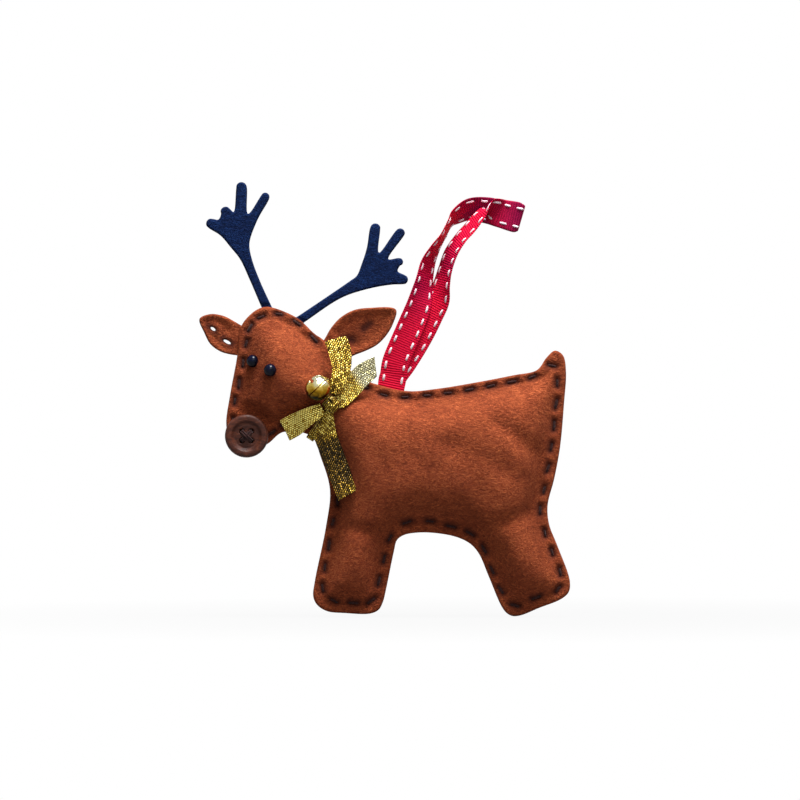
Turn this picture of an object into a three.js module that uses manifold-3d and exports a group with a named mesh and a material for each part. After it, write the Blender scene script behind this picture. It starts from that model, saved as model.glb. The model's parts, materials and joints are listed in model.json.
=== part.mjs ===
// A stuffed felt reindeer ornament: two felts, stuffing, ears, antlers, a button nose, a ribbon bow with a
// bell, and a ribbon loop to hang it by. Millimetres, +Z up, the face looks along -Y.
import * as THREE from 'three';
import { mergeVertices } from 'three/addons/utils/BufferGeometryUtils.js';
import Module from 'manifold-3d';

const wasm = await Module();
wasm.setup();

// Sizes of the felt body. The pattern's points are drawn for patternLength and patternHeight.
const bodyLength = 86.7;
const backHeight = 83;
const patternLength = 86.7;
const patternHeight = 83;
const feltThickness = 1.2;
const seamGap = 0.8;
const seamAllowance = 3.4;
const fillDepth = 9;
const fillReach = 15;
const fillGap = 0.6;
const wadGap = 0.4;
const clearance = 0.3;

// Sizes of what is sewn or glued on.
const earThickness = 1.6;
const earTuck = 6;
const earLean = 1.6;
const earRootGap = 0.7;
const earTabInset = 1;
const earTabGap = 0.2;
const earPocketReach = 4;
const antlerThickness = 1.6;
const antlerTuck = 6;
const eyeDiameter = 4.7;
const eyeDome = 2.8;
const buttonDiameter = 16;
const buttonThickness = 3.2;
const buttonRecess = 1;
const buttonRim = 2.4;
const buttonChamfer = 0.6;
const buttonRound = 0.9;
const buttonRimFall = 0.2;
const buttonHole = 1.8;
const buttonHoleSpacing = 3.6;
const noseThread = 0.8;
const threadLegInset = 0.05;
const dimpleFlat = 1.5;
const dimpleReach = 6;

// Sizes of the ribbons and of the bell.
const ribbonThickness = 0.4;
const hangerWidth = 10;
const hangerTuck = 6;
const hangerHingeLift = 1;
const hangerFootGap = 0.2;
const hangerTabGap = 0.75;
const hangerStraight = 3;
const layerGap = 0.3;
const bandWidth = 3;
const bandStandOff = 2.4;
const bandSlack = 0.2;
const bandWatch = 1.2;
const bowWidth = 8.2;
const bowGather = 3;
const bowStandOff = 0.6;
const upperLoopLift = 5.8;
const lowerLoopLift = 4;
const upperLoopStand = 1.4;
const lowerLoopStand = 1.2;
const loopNarrowing = 0.8;
const loopOpening = 3.4;
const knotWidth = 6.4;
const knotDepth = 4;
const bellDiameter = 9.6;
const bellWall = 0.5;
const bellSlot = 1;
const pelletDiameter = 3;
const shankRadius = 1.2;
const shankWire = 0.7;
const shankSink = 0.1;
const tieThread = 0.6;
const tieSpan = 2.6;
const tieGap = 0.1;

// Mesh steps, and margins that only the cutting needs.
const feltCell = 5;
const feltMargin = 2;
const earCell = 3;
const earMargin = 1;
const roundSteps = 20;
const buttonSteps = 32;
const eyeSteps = 18;
const bandStops = 9;
const bandEndShare = 0.02;
const nearEdge = 0.5;
const cutterSpare = 10;
const weldGap = 1e-4;
const nodeWeldGap = 1e-3;

const halfGap = seamGap / 2;
const rim = halfGap + feltThickness;
const at = (x, z) => [(x * bodyLength) / patternLength, (z * backHeight) / patternHeight];
const onPattern = (points) => points.map(([x, z]) => at(x, z));
const v3 = (x, y, z) => new THREE.Vector3(x, y, z);

// Turns a geometry into a solid that can be joined and cut, facing outwards.
function solid(geometry) {
  const bare = new THREE.BufferGeometry();
  bare.setAttribute('position', geometry.getAttribute('position').clone());
  const count = bare.getAttribute('position').count;
  bare.setIndex(geometry.index ? Array.from(geometry.index.array) : [...Array(count).keys()]);
  const merged = mergeVertices(bare, weldGap);
  const index = Array.from(merged.index.array);
  const kept = [];
  for (let i = 0; i < index.length; i += 3) {
    const [a, b, c] = [index[i], index[i + 1], index[i + 2]];
    if (a !== b && b !== c && c !== a) kept.push(a, b, c);
  }
  const position = merged.getAttribute('position');
  const corner = (k) => v3().fromBufferAttribute(position, k);
  let volume = 0;
  for (let i = 0; i < kept.length; i += 3) {
    volume += corner(kept[i]).dot(corner(kept[i + 1]).cross(corner(kept[i + 2])));
  }
  const triVerts = new Uint32Array(kept);
  if (volume < 0) triVerts.reverse();
  const vertProperties = new Float32Array(position.array);
  return new wasm.Manifold(new wasm.Mesh({ numProp: 3, vertProperties, triVerts }));
}

// A smooth closed outline through the points, as pairs.
function smooth(points, steps) {
  const corners = points.map(([x, z]) => v3(x, z, 0));
  const curve = new THREE.CatmullRomCurve3(corners, true, 'centripetal');
  return curve.getPoints(points.length * steps).slice(0, -1).map((p) => [p.x, p.y]);
}

// A flat outline in x and z, given depth from y0 to y1.
function prism(points, y0, y1) {
  const shape = new THREE.Shape(points.map(([x, z]) => new THREE.Vector2(x, z)));
  const geometry = new THREE.ExtrudeGeometry(shape, { depth: y1 - y0, bevelEnabled: false });
  geometry.rotateX(Math.PI / 2);
  geometry.translate(0, y1, 0);
  return solid(geometry);
}

// A block over a grid in x and z, between the heights y = low(x, z) and y = high(x, z).
function relief(low, high, box, cell) {
  const nx = Math.ceil((box.x1 - box.x0) / cell);
  const nz = Math.ceil((box.z1 - box.z0) / cell);
  const positions = [];
  for (const height of [low, high]) {
    for (let j = 0; j <= nz; j += 1) {
      for (let i = 0; i <= nx; i += 1) {
        const x = box.x0 + i * cell;
        const z = box.z0 + j * cell;
        positions.push(x, height(x, z), z);
      }
    }
  }
  const at0 = (i, j) => j * (nx + 1) + i;
  const lift = (nx + 1) * (nz + 1);
  const index = [];
  for (let j = 0; j < nz; j += 1) {
    for (let i = 0; i < nx; i += 1) {
      const [a, b, c, d] = [at0(i, j), at0(i + 1, j), at0(i + 1, j + 1), at0(i, j + 1)];
      index.push(a, b, c, a, c, d);
      index.push(a + lift, c + lift, b + lift, a + lift, d + lift, c + lift);
    }
  }
  const wall = (u, v) => index.push(v, u, u + lift, v, u + lift, v + lift);
  for (let i = 0; i < nx; i += 1) {
    wall(at0(i, 0), at0(i + 1, 0));
    wall(at0(i + 1, nz), at0(i, nz));
  }
  for (let j = 0; j < nz; j += 1) {
    wall(at0(nx, j), at0(nx, j + 1));
    wall(at0(0, j + 1), at0(0, j));
  }
  const geometry = new THREE.BufferGeometry();
  geometry.setAttribute('position', new THREE.Float32BufferAttribute(positions, 3));
  geometry.setIndex(index);
  return solid(geometry);
}

// A flat ribbon along rows of [centre, width direction, width], smoothed. Its ends are cut square to its
// length, or along the width direction where skewed is set.
function ribbon(rows, steps, { closed = false, skewed = false } = {}) {
  const through = (pick) => new THREE.CatmullRomCurve3(rows.map(pick), closed, 'catmullrom');
  const centre = through((row) => row[0]);
  const across = through((row) => row[1]);
  const wide = through((row) => v3(row[2], 0, 0));
  const stations = closed ? steps : steps + 1;
  const positions = [];
  for (let k = 0; k < stations; k += 1) {
    const t = k / steps;
    const p = centre.getPoint(t);
    const along = centre.getTangent(t);
    const w = across.getPoint(t);
    if (!skewed) w.addScaledVector(along, -w.dot(along));
    w.normalize();
    const n = along.clone().cross(w).setLength(ribbonThickness / 2);
    w.multiplyScalar(wide.getPoint(t).x / 2);
    for (const [a, b] of [[-1, -1], [1, -1], [1, 1], [-1, 1]]) {
      const q = p.clone().addScaledVector(w, a).addScaledVector(n, b);
      positions.push(q.x, q.y, q.z);
    }
  }
  const index = [];
  for (let k = 0; k < steps; k += 1) {
    const base = 4 * k;
    const next = 4 * ((k + 1) % stations);
    for (let c = 0; c < 4; c += 1) {
      const d = (c + 1) % 4;
      index.push(base + c, base + d, next + d, base + c, next + d, next + c);
    }
  }
  if (!closed) {
    const end = 4 * steps;
    index.push(0, 2, 1, 0, 3, 2, end, end + 1, end + 2, end, end + 2, end + 3);
  }
  const geometry = new THREE.BufferGeometry();
  geometry.setAttribute('position', new THREE.Float32BufferAttribute(positions, 3));
  geometry.setIndex(index);
  return solid(geometry);
}

// A turned piece about an axis that starts at a point: profile pairs are [radius, height].
function turned(profile, from, axis, steps = roundSteps) {
  const points = profile.map(([r, h]) => new THREE.Vector2(r, h));
  const geometry = new THREE.LatheGeometry(points, steps);
  const turn = new THREE.Quaternion().setFromUnitVectors(v3(0, 1, 0), axis.clone().normalize());
  geometry.applyQuaternion(turn);
  geometry.translate(from.x, from.y, from.z);
  return solid(geometry);
}

const rod = (from, to, radius, steps = 12) => {
  const long = from.distanceTo(to);
  const profile = [[0, 0], [radius, 0], [radius, long], [0, long]];
  return turned(profile, from, to.clone().sub(from), steps);
};

// The body, head, legs and tail in one outline, from the head's top round to the left.
const bodyOutline = smooth(onPattern([
  [-22.2, 113.3], [-12.2, 109.3], [-5.9, 103.6], [-1.9, 100.6], [5.6, 89.3], [14.4, 85.6], [28.5, 82.2],
  [39.3, 83], [55.2, 85.6], [68.1, 88.1], [76.7, 90], [80.2, 94.6], [83.3, 97.2], [86.3, 95.4],
  [87.4, 89.3], [86.7, 78.1], [85.2, 61.5], [83, 49.6], [80.6, 40], [81.1, 33], [84.1, 25.2],
  [88.8, 12], [88.4, 7.8], [85.6, 5.2], [77.4, 1.9], [70.4, -0.9], [67.2, -1], [64.4, 1.1],
  [58.9, 13.3], [55.2, 21.9], [52, 25.6], [47, 28.1], [39.3, 29.6], [32.6, 29.8], [27.4, 28.9],
  [24.8, 27], [23.7, 23], [20.7, 8.5], [19.6, 4.1], [18, 1.2], [14.8, -0.2], [5.6, 0], [-1.1, 0.7],
  [-4.8, 3.1], [-6.2, 6.2], [-5.6, 11.9], [-1.5, 31.9], [0, 45.6], [-3.3, 57.4], [-7, 65.5],
  [-17.4, 67], [-22.6, 63], [-27, 60.4], [-32.2, 59.6], [-36.6, 63.2], [-38.4, 69.6], [-37, 80.7],
  [-34.4, 94.8], [-33, 105.9], [-29.3, 110.7], [-25.6, 113],
]), 2);

const noseCentre = at(-30.8, 65.6);
const xs = bodyOutline.map((p) => p[0]);
const zs = bodyOutline.map((p) => p[1]);
const feltBox = {
  x0: Math.min(...xs) - feltMargin,
  x1: Math.max(...xs) + feltMargin,
  z0: Math.min(...zs) - feltMargin,
  z1: Math.max(...zs) + feltMargin,
};

function insideBody(x, z) {
  let inside = false;
  for (let i = 0, j = bodyOutline.length - 1; i < bodyOutline.length; j = i, i += 1) {
    const [ax, az] = bodyOutline[i];
    const [bx, bz] = bodyOutline[j];
    if (az > z !== bz > z && x < ((bx - ax) * (z - az)) / (bz - az) + ax) inside = !inside;
  }
  return inside;
}

// Distance to the felt's edge without creases: the inverse cube of the distance, summed round the edge.
function edgeDistance(x, z) {
  let sum = 0;
  for (let i = 0, j = bodyOutline.length - 1; i < bodyOutline.length; j = i, i += 1) {
    const [ax, az] = bodyOutline[i];
    const [bx, bz] = bodyOutline[j];
    const step = Math.hypot(bx - ax, bz - az);
    for (const share of [0.25, 0.75]) {
      const away = Math.hypot(x - ax - (bx - ax) * share, z - az - (bz - az) * share);
      sum += step / 2 / Math.max(away, nearEdge) ** 3;
    }
  }
  return (sum / 2) ** -0.5;
}

// How far the stuffing lifts a felt: zero at the stitches and under the nose, a parabola in between.
function swell(x, z) {
  if (!insideBody(x, z)) return 0;
  const u = THREE.MathUtils.clamp((edgeDistance(x, z) - seamAllowance) / fillReach, 0, 1);
  const fromNose = Math.hypot(x - noseCentre[0], z - noseCentre[1]) - buttonDiameter / 2;
  return fillDepth * (1 - (1 - u) ** 2) * THREE.MathUtils.smoothstep(fromNose, dimpleFlat, dimpleReach);
}

const feltColumns = Math.ceil((feltBox.x1 - feltBox.x0) / feltCell) + 1;
const feltRows = Math.ceil((feltBox.z1 - feltBox.z0) / feltCell) + 1;
const swellTable = [];
for (let j = 0; j < feltRows; j += 1) {
  for (let i = 0; i < feltColumns; i += 1) {
    swellTable.push(swell(feltBox.x0 + i * feltCell, feltBox.z0 + j * feltCell));
  }
}

// The lift at a point, read between the grid's corners as the felt's own triangles do.
function lift(x, z) {
  const u = THREE.MathUtils.clamp((x - feltBox.x0) / feltCell, 0, feltColumns - 1);
  const v = THREE.MathUtils.clamp((z - feltBox.z0) / feltCell, 0, feltRows - 1);
  const i = Math.min(Math.floor(u), feltColumns - 2);
  const j = Math.min(Math.floor(v), feltRows - 2);
  const [s, t] = [u - i, v - j];
  const corner = (a, b) => swellTable[(j + b) * feltColumns + i + a];
  const [p, q, r, o] = [corner(0, 0), corner(1, 0), corner(1, 1), corner(0, 1)];
  return s > t ? p + (q - p) * s + (r - q) * t : p + (r - o) * s + (o - p) * t;
}

const feltFace = (x, z) => rim + lift(x, z);

// The highest felt within a radius of a point.
function cover(x, z, radius) {
  let top = feltFace(x, z);
  for (let k = 0; k < 16; k += 1) {
    const angle = (k * Math.PI) / 8;
    for (const share of [0.5, 1]) {
      const px = x + Math.cos(angle) * radius * share;
      const pz = z + Math.sin(angle) * radius * share;
      top = Math.max(top, feltFace(px, pz));
    }
  }
  return top;
}

// Half the depth of a cutter, past all that it cuts.
const deep = fillDepth * 3 + cutterSpare;
const bodyPrism = prism(bodyOutline, -deep, deep);

// Ears: a leaf outside the seam and a tab inside it, either side of the root line.
function ear(points, rootTop, rootEnd) {
  const [a, b] = [at(...rootTop), at(...rootEnd)];
  const long = Math.hypot(b[0] - a[0], b[1] - a[1]);
  const along = [(b[0] - a[0]) / long, (b[1] - a[1]) / long];
  const outline = smooth(onPattern(points), 4);
  const mid = [(a[0] + b[0]) / 2, (a[1] + b[1]) / 2];
  const mean = (k) => outline.reduce((sum, p) => sum + p[k], 0) / outline.length;
  const side = along[1] * (mean(0) - mid[0]) - along[0] * (mean(1) - mid[1]) > 0 ? 1 : -1;
  const out = [along[1] * side, -along[0] * side];
  const reach = (x, z) => (x - a[0]) * out[0] + (z - a[1]) * out[1];
  const far = Math.max(...outline.map((p) => reach(...p)));
  const quad = (s0, s1, n0, n1) => [[s0, n0], [s1, n0], [s1, n1], [s0, n1]].map(([s, n]) => (
    [a[0] + along[0] * s + out[0] * n, a[1] + along[1] * s + out[1] * n]
  ));
  const box = {
    x0: Math.min(...outline.map((p) => p[0])) - earMargin,
    x1: Math.max(...outline.map((p) => p[0])) + earMargin,
    z0: Math.min(...outline.map((p) => p[1])) - earMargin,
    z1: Math.max(...outline.map((p) => p[1])) + earMargin,
  };
  const middle = (x, z) => -earLean * (Math.max(reach(x, z) - earRootGap, 0) / far) ** 2;
  const half = earThickness / 2;
  const sheet = relief((x, z) => middle(x, z) - half, (x, z) => middle(x, z) + half, box, earCell);
  const pastRoot = prism(quad(-deep, deep, earRootGap, deep), -deep, deep);
  const leaf = sheet.intersect(prism(outline, -deep, deep)).intersect(pastRoot);
  const [tabStart, tabEnd] = [earTabInset, long - earTabInset];
  const tab = prism(quad(tabStart, tabEnd, -earTuck, -earTabGap), -half, half);
  const room = half + clearance;
  const grown = quad(tabStart - clearance, tabEnd + clearance, -earTuck - clearance, earPocketReach);
  const pocket = prism(grown, -room, room);
  return { leaf, tab, pocket, a, b };
}

const leftEar = ear([
  [-33, 106.6], [-35.6, 108.1], [-39.3, 110], [-44.4, 110.7], [-48.3, 108.9], [-46.5, 103.7], [-44.3, 99.6],
  [-40.9, 97], [-37.6, 95.9], [-33.6, 95.4],
], [-33.4, 105.9], [-34.7, 95.7]);
const rightEar = ear([
  [-2, 101.5], [0.4, 105.6], [4.1, 109.6], [8.9, 112.2], [14.4, 113], [24.4, 112.4], [23.3, 107],
  [20.7, 102.6], [17.4, 99.3], [13, 97], [8.9, 95.4], [3.4, 92.4],
], [-0.9, 100.8], [4.2, 92.6]);

// Antlers: one flat piece each, its fingers rounded at the tips, its stem tucked into the seam.
function tip([x, z], radius, [dx, dz]) {
  const long = Math.hypot(dx, dz);
  const [ux, uz] = [(dx / long) * radius, (dz / long) * radius];
  return [[x - uz, z + ux], [x + ux, z + uz], [x + uz, z - ux]];
}

function antler(points, inward) {
  const outline = onPattern(points);
  const last = outline.length - 1;
  const long = Math.hypot(...inward);
  const tuck = inward.map((c) => (c / long) * antlerTuck);
  const foot = [outline[last], outline[0]].map(([x, z]) => [x + tuck[0], z + tuck[1]]);
  const half = antlerThickness / 2;
  const piece = prism(smooth([...outline, ...foot], 3), -half, half);
  const room = half + clearance;
  const [p, q] = foot;
  const wide = Math.hypot(q[0] - p[0], q[1] - p[1]);
  const grow = [((q[0] - p[0]) / wide) * clearance * 4, ((q[1] - p[1]) / wide) * clearance * 4];
  const deepen = tuck.map((c) => (c / antlerTuck) * clearance * 2);
  const low = [[p[0] - grow[0] + deepen[0], p[1] - grow[1] + deepen[1]],
    [q[0] + grow[0] + deepen[0], q[1] + grow[1] + deepen[1]]];
  const high = low.map(([x, z]) => [x - tuck[0] * 2, z - tuck[1] * 2]);
  const pocket = prism([low[0], low[1], high[1], high[0]], -room, room);
  return { piece, pocket };
}

const leftAntler = antler([
  [-21.7, 113.7], [-25.7, 122.4], [-28.6, 130], [-29.8, 135.3], [-29.6, 138.3], [-26.7, 145.9],
  ...tip([-24, 154.1], 1.6, [0.31, 0.95]).reverse(), [-30.4, 147.8],
  ...tip([-32.8, 157.6], 2, [-0.2, 0.98]).reverse(), [-35.7, 148.5],
  ...tip([-38.6, 148.5], 2, [-0.45, 0.89]).reverse(), [-41.4, 145.7],
  ...tip([-44, 144.2], 1.9, [-0.9, 0.4]).reverse(),
  [-40.6, 139.8], [-36.7, 135.3], [-33.3, 131], [-29.6, 123.1], [-25.3, 113.1],
], [0.42, -0.9]);
const rightAntler = antler([
  [-11.1, 110.4], [7.3, 122.9], [9.9, 124.9], [11.6, 128.9], [13.6, 135.1],
  ...tip([16.8, 142.4], 1.9, [0.36, 0.93]), [18.1, 133.4],
  ...tip([26, 140.7], 1.75, [0.74, 0.67]), [21.6, 131.1],
  ...tip([25.6, 130], 1.5, [1, 0.2]), [25.1, 126.6],
  ...tip([27.1, 123.5], 1.8, [0.95, -0.2]),
  [22.9, 121.6], [14.4, 120.1], [4.2, 116.7], [-9, 108],
], [-0.83, -0.56]);

// Hanger: the seam points under the ribbon's edges give the line that it flops about.
const hangerLeft = at(17.6, 84.6);
const hangerRight = at(27.6, 82.5);
const hangerSlope = Math.atan2(hangerRight[1] - hangerLeft[1], hangerRight[0] - hangerLeft[0]);
const hangerAlong = v3(Math.cos(hangerSlope), 0, Math.sin(hangerSlope));
const hangerUp = v3(-Math.sin(hangerSlope), 0, Math.cos(hangerSlope));
const hangerSeam = v3((hangerLeft[0] + hangerRight[0]) / 2, 0, (hangerLeft[1] + hangerRight[1]) / 2);
const hangerHinge = hangerSeam.clone().addScaledVector(hangerUp, hangerHingeLift);
const hangerFoot = hangerHinge.clone().addScaledVector(hangerUp, hangerFootGap);
const hangerRise = hangerFoot.clone().addScaledVector(hangerUp, hangerStraight);
const layer = (ribbonThickness + layerGap) / 2;
const on = (x, z, y) => {
  const [px, pz] = at(x, z);
  return v3(px, y, pz);
};
const strand = (x, z, y, wx, wy, wz) => [on(x, z, y), v3(wx, wy, wz), hangerWidth];
const hangerEnd = [70.9, 146.1];
const hanger = ribbon([
  [hangerFoot.clone().setY(layer), hangerAlong, hangerWidth],
  [hangerRise.clone().setY(layer), hangerAlong, hangerWidth],
  strand(27.2, 93, 1, 0.89, 0, -0.45),
  strand(32.2, 101.1, 1.5, 0.87, 0, -0.49),
  strand(37.2, 110.4, 1.7, 0.84, -0.3, -0.4),
  strand(40, 115.9, 1.2, 0.8, -0.5, -0.3),
  strand(41.3, 121.5, 0.6, 0.62, -0.77, -0.14),
  strand(42.6, 127, 0.2, 0.5, -0.85, -0.13),
  strand(44.8, 133.3, -0.3, 0.38, -0.92, -0.12),
  strand(48.1, 138.9, -1, 0.18, -0.98, -0.05),
  strand(51.1, 143, -1.7, 0.02, -0.98, 0.12),
  strand(54.4, 146.7, -2.4, 0.05, -0.75, 0.66),
  strand(58.3, 148.7, -2.4, 0.2, -0.3, 0.93),
  strand(63, 147.8, -1.7, 0.27, 0, 0.96),
  strand(68.5, 146.7, -1.1, 0.28, 0, 0.96),
  strand(70.2, 146.3, -0.8, 0.28, 0, 0.96),
  strand(...hangerEnd, 0, 0.28, 0, 0.96),
  strand(70.2, 146.3, 0.8, 0.28, 0, 0.96),
  strand(68.5, 146.7, 1.1, 0.28, 0, 0.96),
  strand(63, 148, 1.9, 0.27, -0.1, 0.95),
  strand(58.1, 149.2, 2.9, 0.15, -0.25, 0.95),
  strand(51.9, 149.6, 3.2, -0.2, -0.6, 0.77),
  strand(46.7, 147, 2.4, -0.35, -0.85, 0.4),
  strand(44.4, 144.4, 1.8, -0.2, -0.97, 0.13),
  strand(41.9, 139.6, 1.2, -0.2, -0.97, 0.1),
  strand(38.9, 134.8, 0.7, -0.35, -0.93, 0.12),
  strand(36.3, 129.3, 0.2, -0.52, -0.84, 0.14),
  strand(34.8, 122.2, -0.5, -0.65, -0.75, 0.14),
  strand(33, 114.1, -1.4, -0.87, -0.4, 0.28),
  strand(29.3, 104.8, -1.6, -0.9, -0.12, 0.38),
  strand(24.6, 93.7, -1, -0.95, 0, 0.28),
  [hangerRise.clone().setY(-layer), hangerAlong.clone().negate(), hangerWidth],
  [hangerFoot.clone().setY(-layer), hangerAlong.clone().negate(), hangerWidth],
], 96);

const seamQuad = (half, top, bottom) => [[-half, bottom], [half, bottom], [half, top], [-half, top]].map(
  ([s, h]) => {
    const p = hangerSeam.clone().addScaledVector(hangerAlong, s).addScaledVector(hangerUp, h);
    return [p.x, p.z];
  },
);
const tabHalf = layer + ribbonThickness / 2;
const tabTop = hangerHingeLift - hangerTabGap;
const hangerTab = prism(seamQuad(hangerWidth / 2, tabTop, -hangerTuck), -tabHalf, tabHalf);
const hangerRoom = tabHalf + clearance;
const hangerPocket = prism(
  seamQuad(hangerWidth / 2 + clearance, hangerTuck, -hangerTuck - clearance),
  -hangerRoom,
  hangerRoom,
);

// Nose: a four-hole button, sewn through both felts by a crossed thread.
const [noseX, noseZ] = noseCentre;
const buttonRadius = buttonDiameter / 2;
const buttonBack = -cover(noseX, noseZ, buttonRadius) - clearance;
const wellRadius = buttonRadius - buttonRim;
const wellHeight = buttonThickness - buttonRecess;
const holeOffset = buttonHoleSpacing / 2;
const holePlaces = [[1, 1], [-1, 1], [-1, -1], [1, -1]].map(([a, b]) => (
  [noseX + a * holeOffset, noseZ + b * holeOffset]
));
const through = (radius, y0, y1) => holePlaces.map(([x, z]) => rod(v3(x, y0, z), v3(x, y1, z), radius));
const roundMiddle = buttonRound * (1 - Math.SQRT1_2);
let button = turned([
  [0, 0],
  [buttonRadius - buttonChamfer, 0],
  [buttonRadius, buttonChamfer],
  [buttonRadius, buttonThickness - buttonRound],
  [buttonRadius - roundMiddle, buttonThickness - roundMiddle],
  [buttonRadius - buttonRound, buttonThickness],
  [wellRadius + buttonRound, buttonThickness - buttonRimFall],
  [wellRadius, wellHeight],
  [0, wellHeight],
], v3(noseX, buttonBack, noseZ), v3(0, -1, 0), buttonSteps);
for (const hole of through(buttonHole / 2, -deep, deep)) button = button.subtract(hole);
const threadFront = buttonBack - wellHeight - clearance;
const threadBack = rim + clearance;
function crossBar(y0, y1, sign) {
  const reach = holeOffset * Math.SQRT2 + noseThread / 2;
  const half = noseThread / 2;
  const corners = [[-reach, -half], [reach, -half], [reach, half], [-reach, half]];
  const turn = Math.SQRT1_2;
  return prism(corners.map(([s, w]) => (
    [noseX + (s - w * sign) * turn, noseZ + (s * sign + w) * turn]
  )), y0, y1);
}
let noseSewing = crossBar(threadFront - noseThread, threadFront, 1);
noseSewing = noseSewing.add(crossBar(threadFront - noseThread, threadFront, -1));
noseSewing = noseSewing.add(crossBar(threadBack, threadBack + noseThread, 1));
noseSewing = noseSewing.add(crossBar(threadBack, threadBack + noseThread, -1));
const legEnds = [threadFront - noseThread / 2, threadBack + noseThread / 2];
for (const leg of through(noseThread / 2 - threadLegInset, ...legEnds)) noseSewing = noseSewing.add(leg);

// The two felts, cut from the swollen sheet, with room for what is caught in the seam.
const caught = [leftEar.pocket, rightEar.pocket, leftAntler.pocket, rightAntler.pocket, hangerPocket];
function feltPanel(side) {
  const inner = (x, z) => side * (halfGap + lift(x, z));
  const outer = (x, z) => side * (rim + lift(x, z));
  const faces = side < 0 ? [outer, inner] : [inner, outer];
  let panel = relief(...faces, feltBox, feltCell).intersect(bodyPrism);
  for (const pocket of caught) panel = panel.subtract(pocket);
  for (const hole of through(noseThread / 2 + clearance, -deep, deep)) panel = panel.subtract(hole);
  return panel;
}

// The stuffing fills the felts, in four wads parted by flat cuts at the neck and the legs.
const fillHeight = (x, z) => halfGap + lift(x, z) - fillGap;
let filling = relief(() => -deep, fillHeight, feltBox, feltCell);
filling = filling.intersect(relief((x, z) => -fillHeight(x, z), () => deep, feltBox, feltCell));
filling = filling.intersect(bodyPrism);
for (const pocket of caught) filling = filling.subtract(pocket);

const throat = at(-6.7, 65.6);
const nape = at(8.1, 87.8);
const neckLong = Math.hypot(nape[0] - throat[0], nape[1] - throat[1]);
const neckAlong = v3((nape[0] - throat[0]) / neckLong, 0, (nape[1] - throat[1]) / neckLong);
const neckAcross = v3(neckAlong.z, 0, -neckAlong.x);
const neckPoint = (s, w, y) => (
  v3(throat[0], y, throat[1]).addScaledVector(neckAlong, s).addScaledVector(neckAcross, w)
);
const past = bodyLength * 2;
const cutNeck = (w0, w1) => {
  const corners = [[-past, w0], [past, w0], [past, w1], [-past, w1]].map(([s, w]) => neckPoint(s, w, 0));
  return prism(corners.map((p) => [p.x, p.z]), -deep, deep);
};
const cutBox = (x0, z0, x1, z1) => {
  const [a, b] = [at(x0, z0), at(x1, z1)];
  return prism([[a[0], a[1]], [b[0], a[1]], [b[0], b[1]], [a[0], b[1]]], -deep, deep);
};
const legTop = 28;
const legSplit = 38;
const headWad = filling.intersect(cutNeck(-past, -wadGap / 2));
const belowNeck = filling.intersect(cutNeck(wadGap / 2, past));
const torsoWad = belowNeck.intersect(cutBox(-past, legTop + wadGap / 2, past, past));
const frontLegWad = belowNeck.intersect(cutBox(-past, -past, legSplit, legTop - wadGap / 2));
const rearLegWad = belowNeck.intersect(cutBox(legSplit, -past, past, legTop - wadGap / 2));

// Eyes: glued half-round beads, each square to the felt under it.
function eye(x, z) {
  const [px, pz] = at(x, z);
  const step = eyeDiameter / 2;
  const slopeX = (feltFace(px + step, pz) - feltFace(px - step, pz)) / (2 * step);
  const slopeZ = (feltFace(px, pz + step) - feltFace(px, pz - step)) / (2 * step);
  const out = v3(-slopeX, -1, -slopeZ).normalize();
  let stand = 0;
  for (let k = 0; k < 12; k += 1) {
    const [dx, dz] = [Math.cos((k * Math.PI) / 6) * step, Math.sin((k * Math.PI) / 6) * step];
    stand = Math.max(stand, feltFace(px + dx, pz + dz) - feltFace(px, pz) - slopeX * dx - slopeZ * dz);
  }
  const seat = v3(px, -feltFace(px, pz), pz).addScaledVector(out, stand + clearance);
  const profile = [[0, 0]];
  for (let k = 0; k <= 5; k += 1) {
    const angle = (k * Math.PI) / 10;
    profile.push([k === 5 ? 0 : step * Math.cos(angle), eyeDome * Math.sin(angle)]);
  }
  return turned(profile, seat, out, eyeSteps);
}

// Neck band: a ribbon ring just clear of the felt, gathered narrow.
const bandHeight = (s) => {
  let top = rim;
  for (const w of [-0.5, 0, 0.5]) {
    for (const near of [-bandWatch, 0, bandWatch]) {
      const p = neckPoint(s + near, w * bandWidth, 0);
      top = Math.max(top, feltFace(p.x, p.z));
    }
  }
  return top + clearance + bandSlack + ribbonThickness / 2;
};
const bandRow = (s, y) => [neckPoint(s, 0, y), neckAcross, bandWidth];
const bandPlaces = [...Array(bandStops).keys()].map((k) => (
  neckLong * THREE.MathUtils.lerp(bandEndShare, 1 - bandEndShare, k / (bandStops - 1))
));
const bandTurn = bandStandOff * 0.8;
const band = ribbon([
  bandRow(-bandStandOff, 0),
  bandRow(-bandTurn, -rim),
  ...bandPlaces.map((s) => bandRow(s, -bandHeight(s))),
  bandRow(neckLong + bandTurn, -rim),
  bandRow(neckLong + bandStandOff, 0),
  bandRow(neckLong + bandTurn, rim),
  ...bandPlaces.reverse().map((s) => bandRow(s, bandHeight(s))),
  bandRow(-bandTurn, rim),
], 66, { closed: true });

// Bow: a knot on the band, two loops and two tails that leave it.
const [knotX, knotZ] = at(0.7, 77.4);
const knotSeat = cover(knotX, knotZ, knotWidth / 2) + ribbonThickness + 2 * clearance + bandSlack;
const knotY = -knotSeat - knotDepth / 2;
const knotProfile = [];
for (let k = 0; k <= 8; k += 1) {
  const angle = ((k - 4) * Math.PI) / 8;
  const edge = k === 0 || k === 8;
  knotProfile.push([edge ? 0 : (knotWidth / 2) * Math.cos(angle), (knotDepth / 2) * Math.sin(angle)]);
}
const knot = turned(knotProfile, v3(knotX, knotY, knotZ), v3(0, -1, 0), 16);
const bowStart = knotWidth / 2 + 2 * clearance;

const fromKnot = (x, z, wide, across, depth) => {
  const [tx, tz] = at(x, z);
  const q = bowStart / Math.hypot(tx - knotX, tz - knotZ);
  const w = v3(across[0], 0, across[1]).normalize();
  return [v3(knotX + (tx - knotX) * q, knotY + depth, knotZ + (tz - knotZ) * q), w, wide];
};

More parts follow.
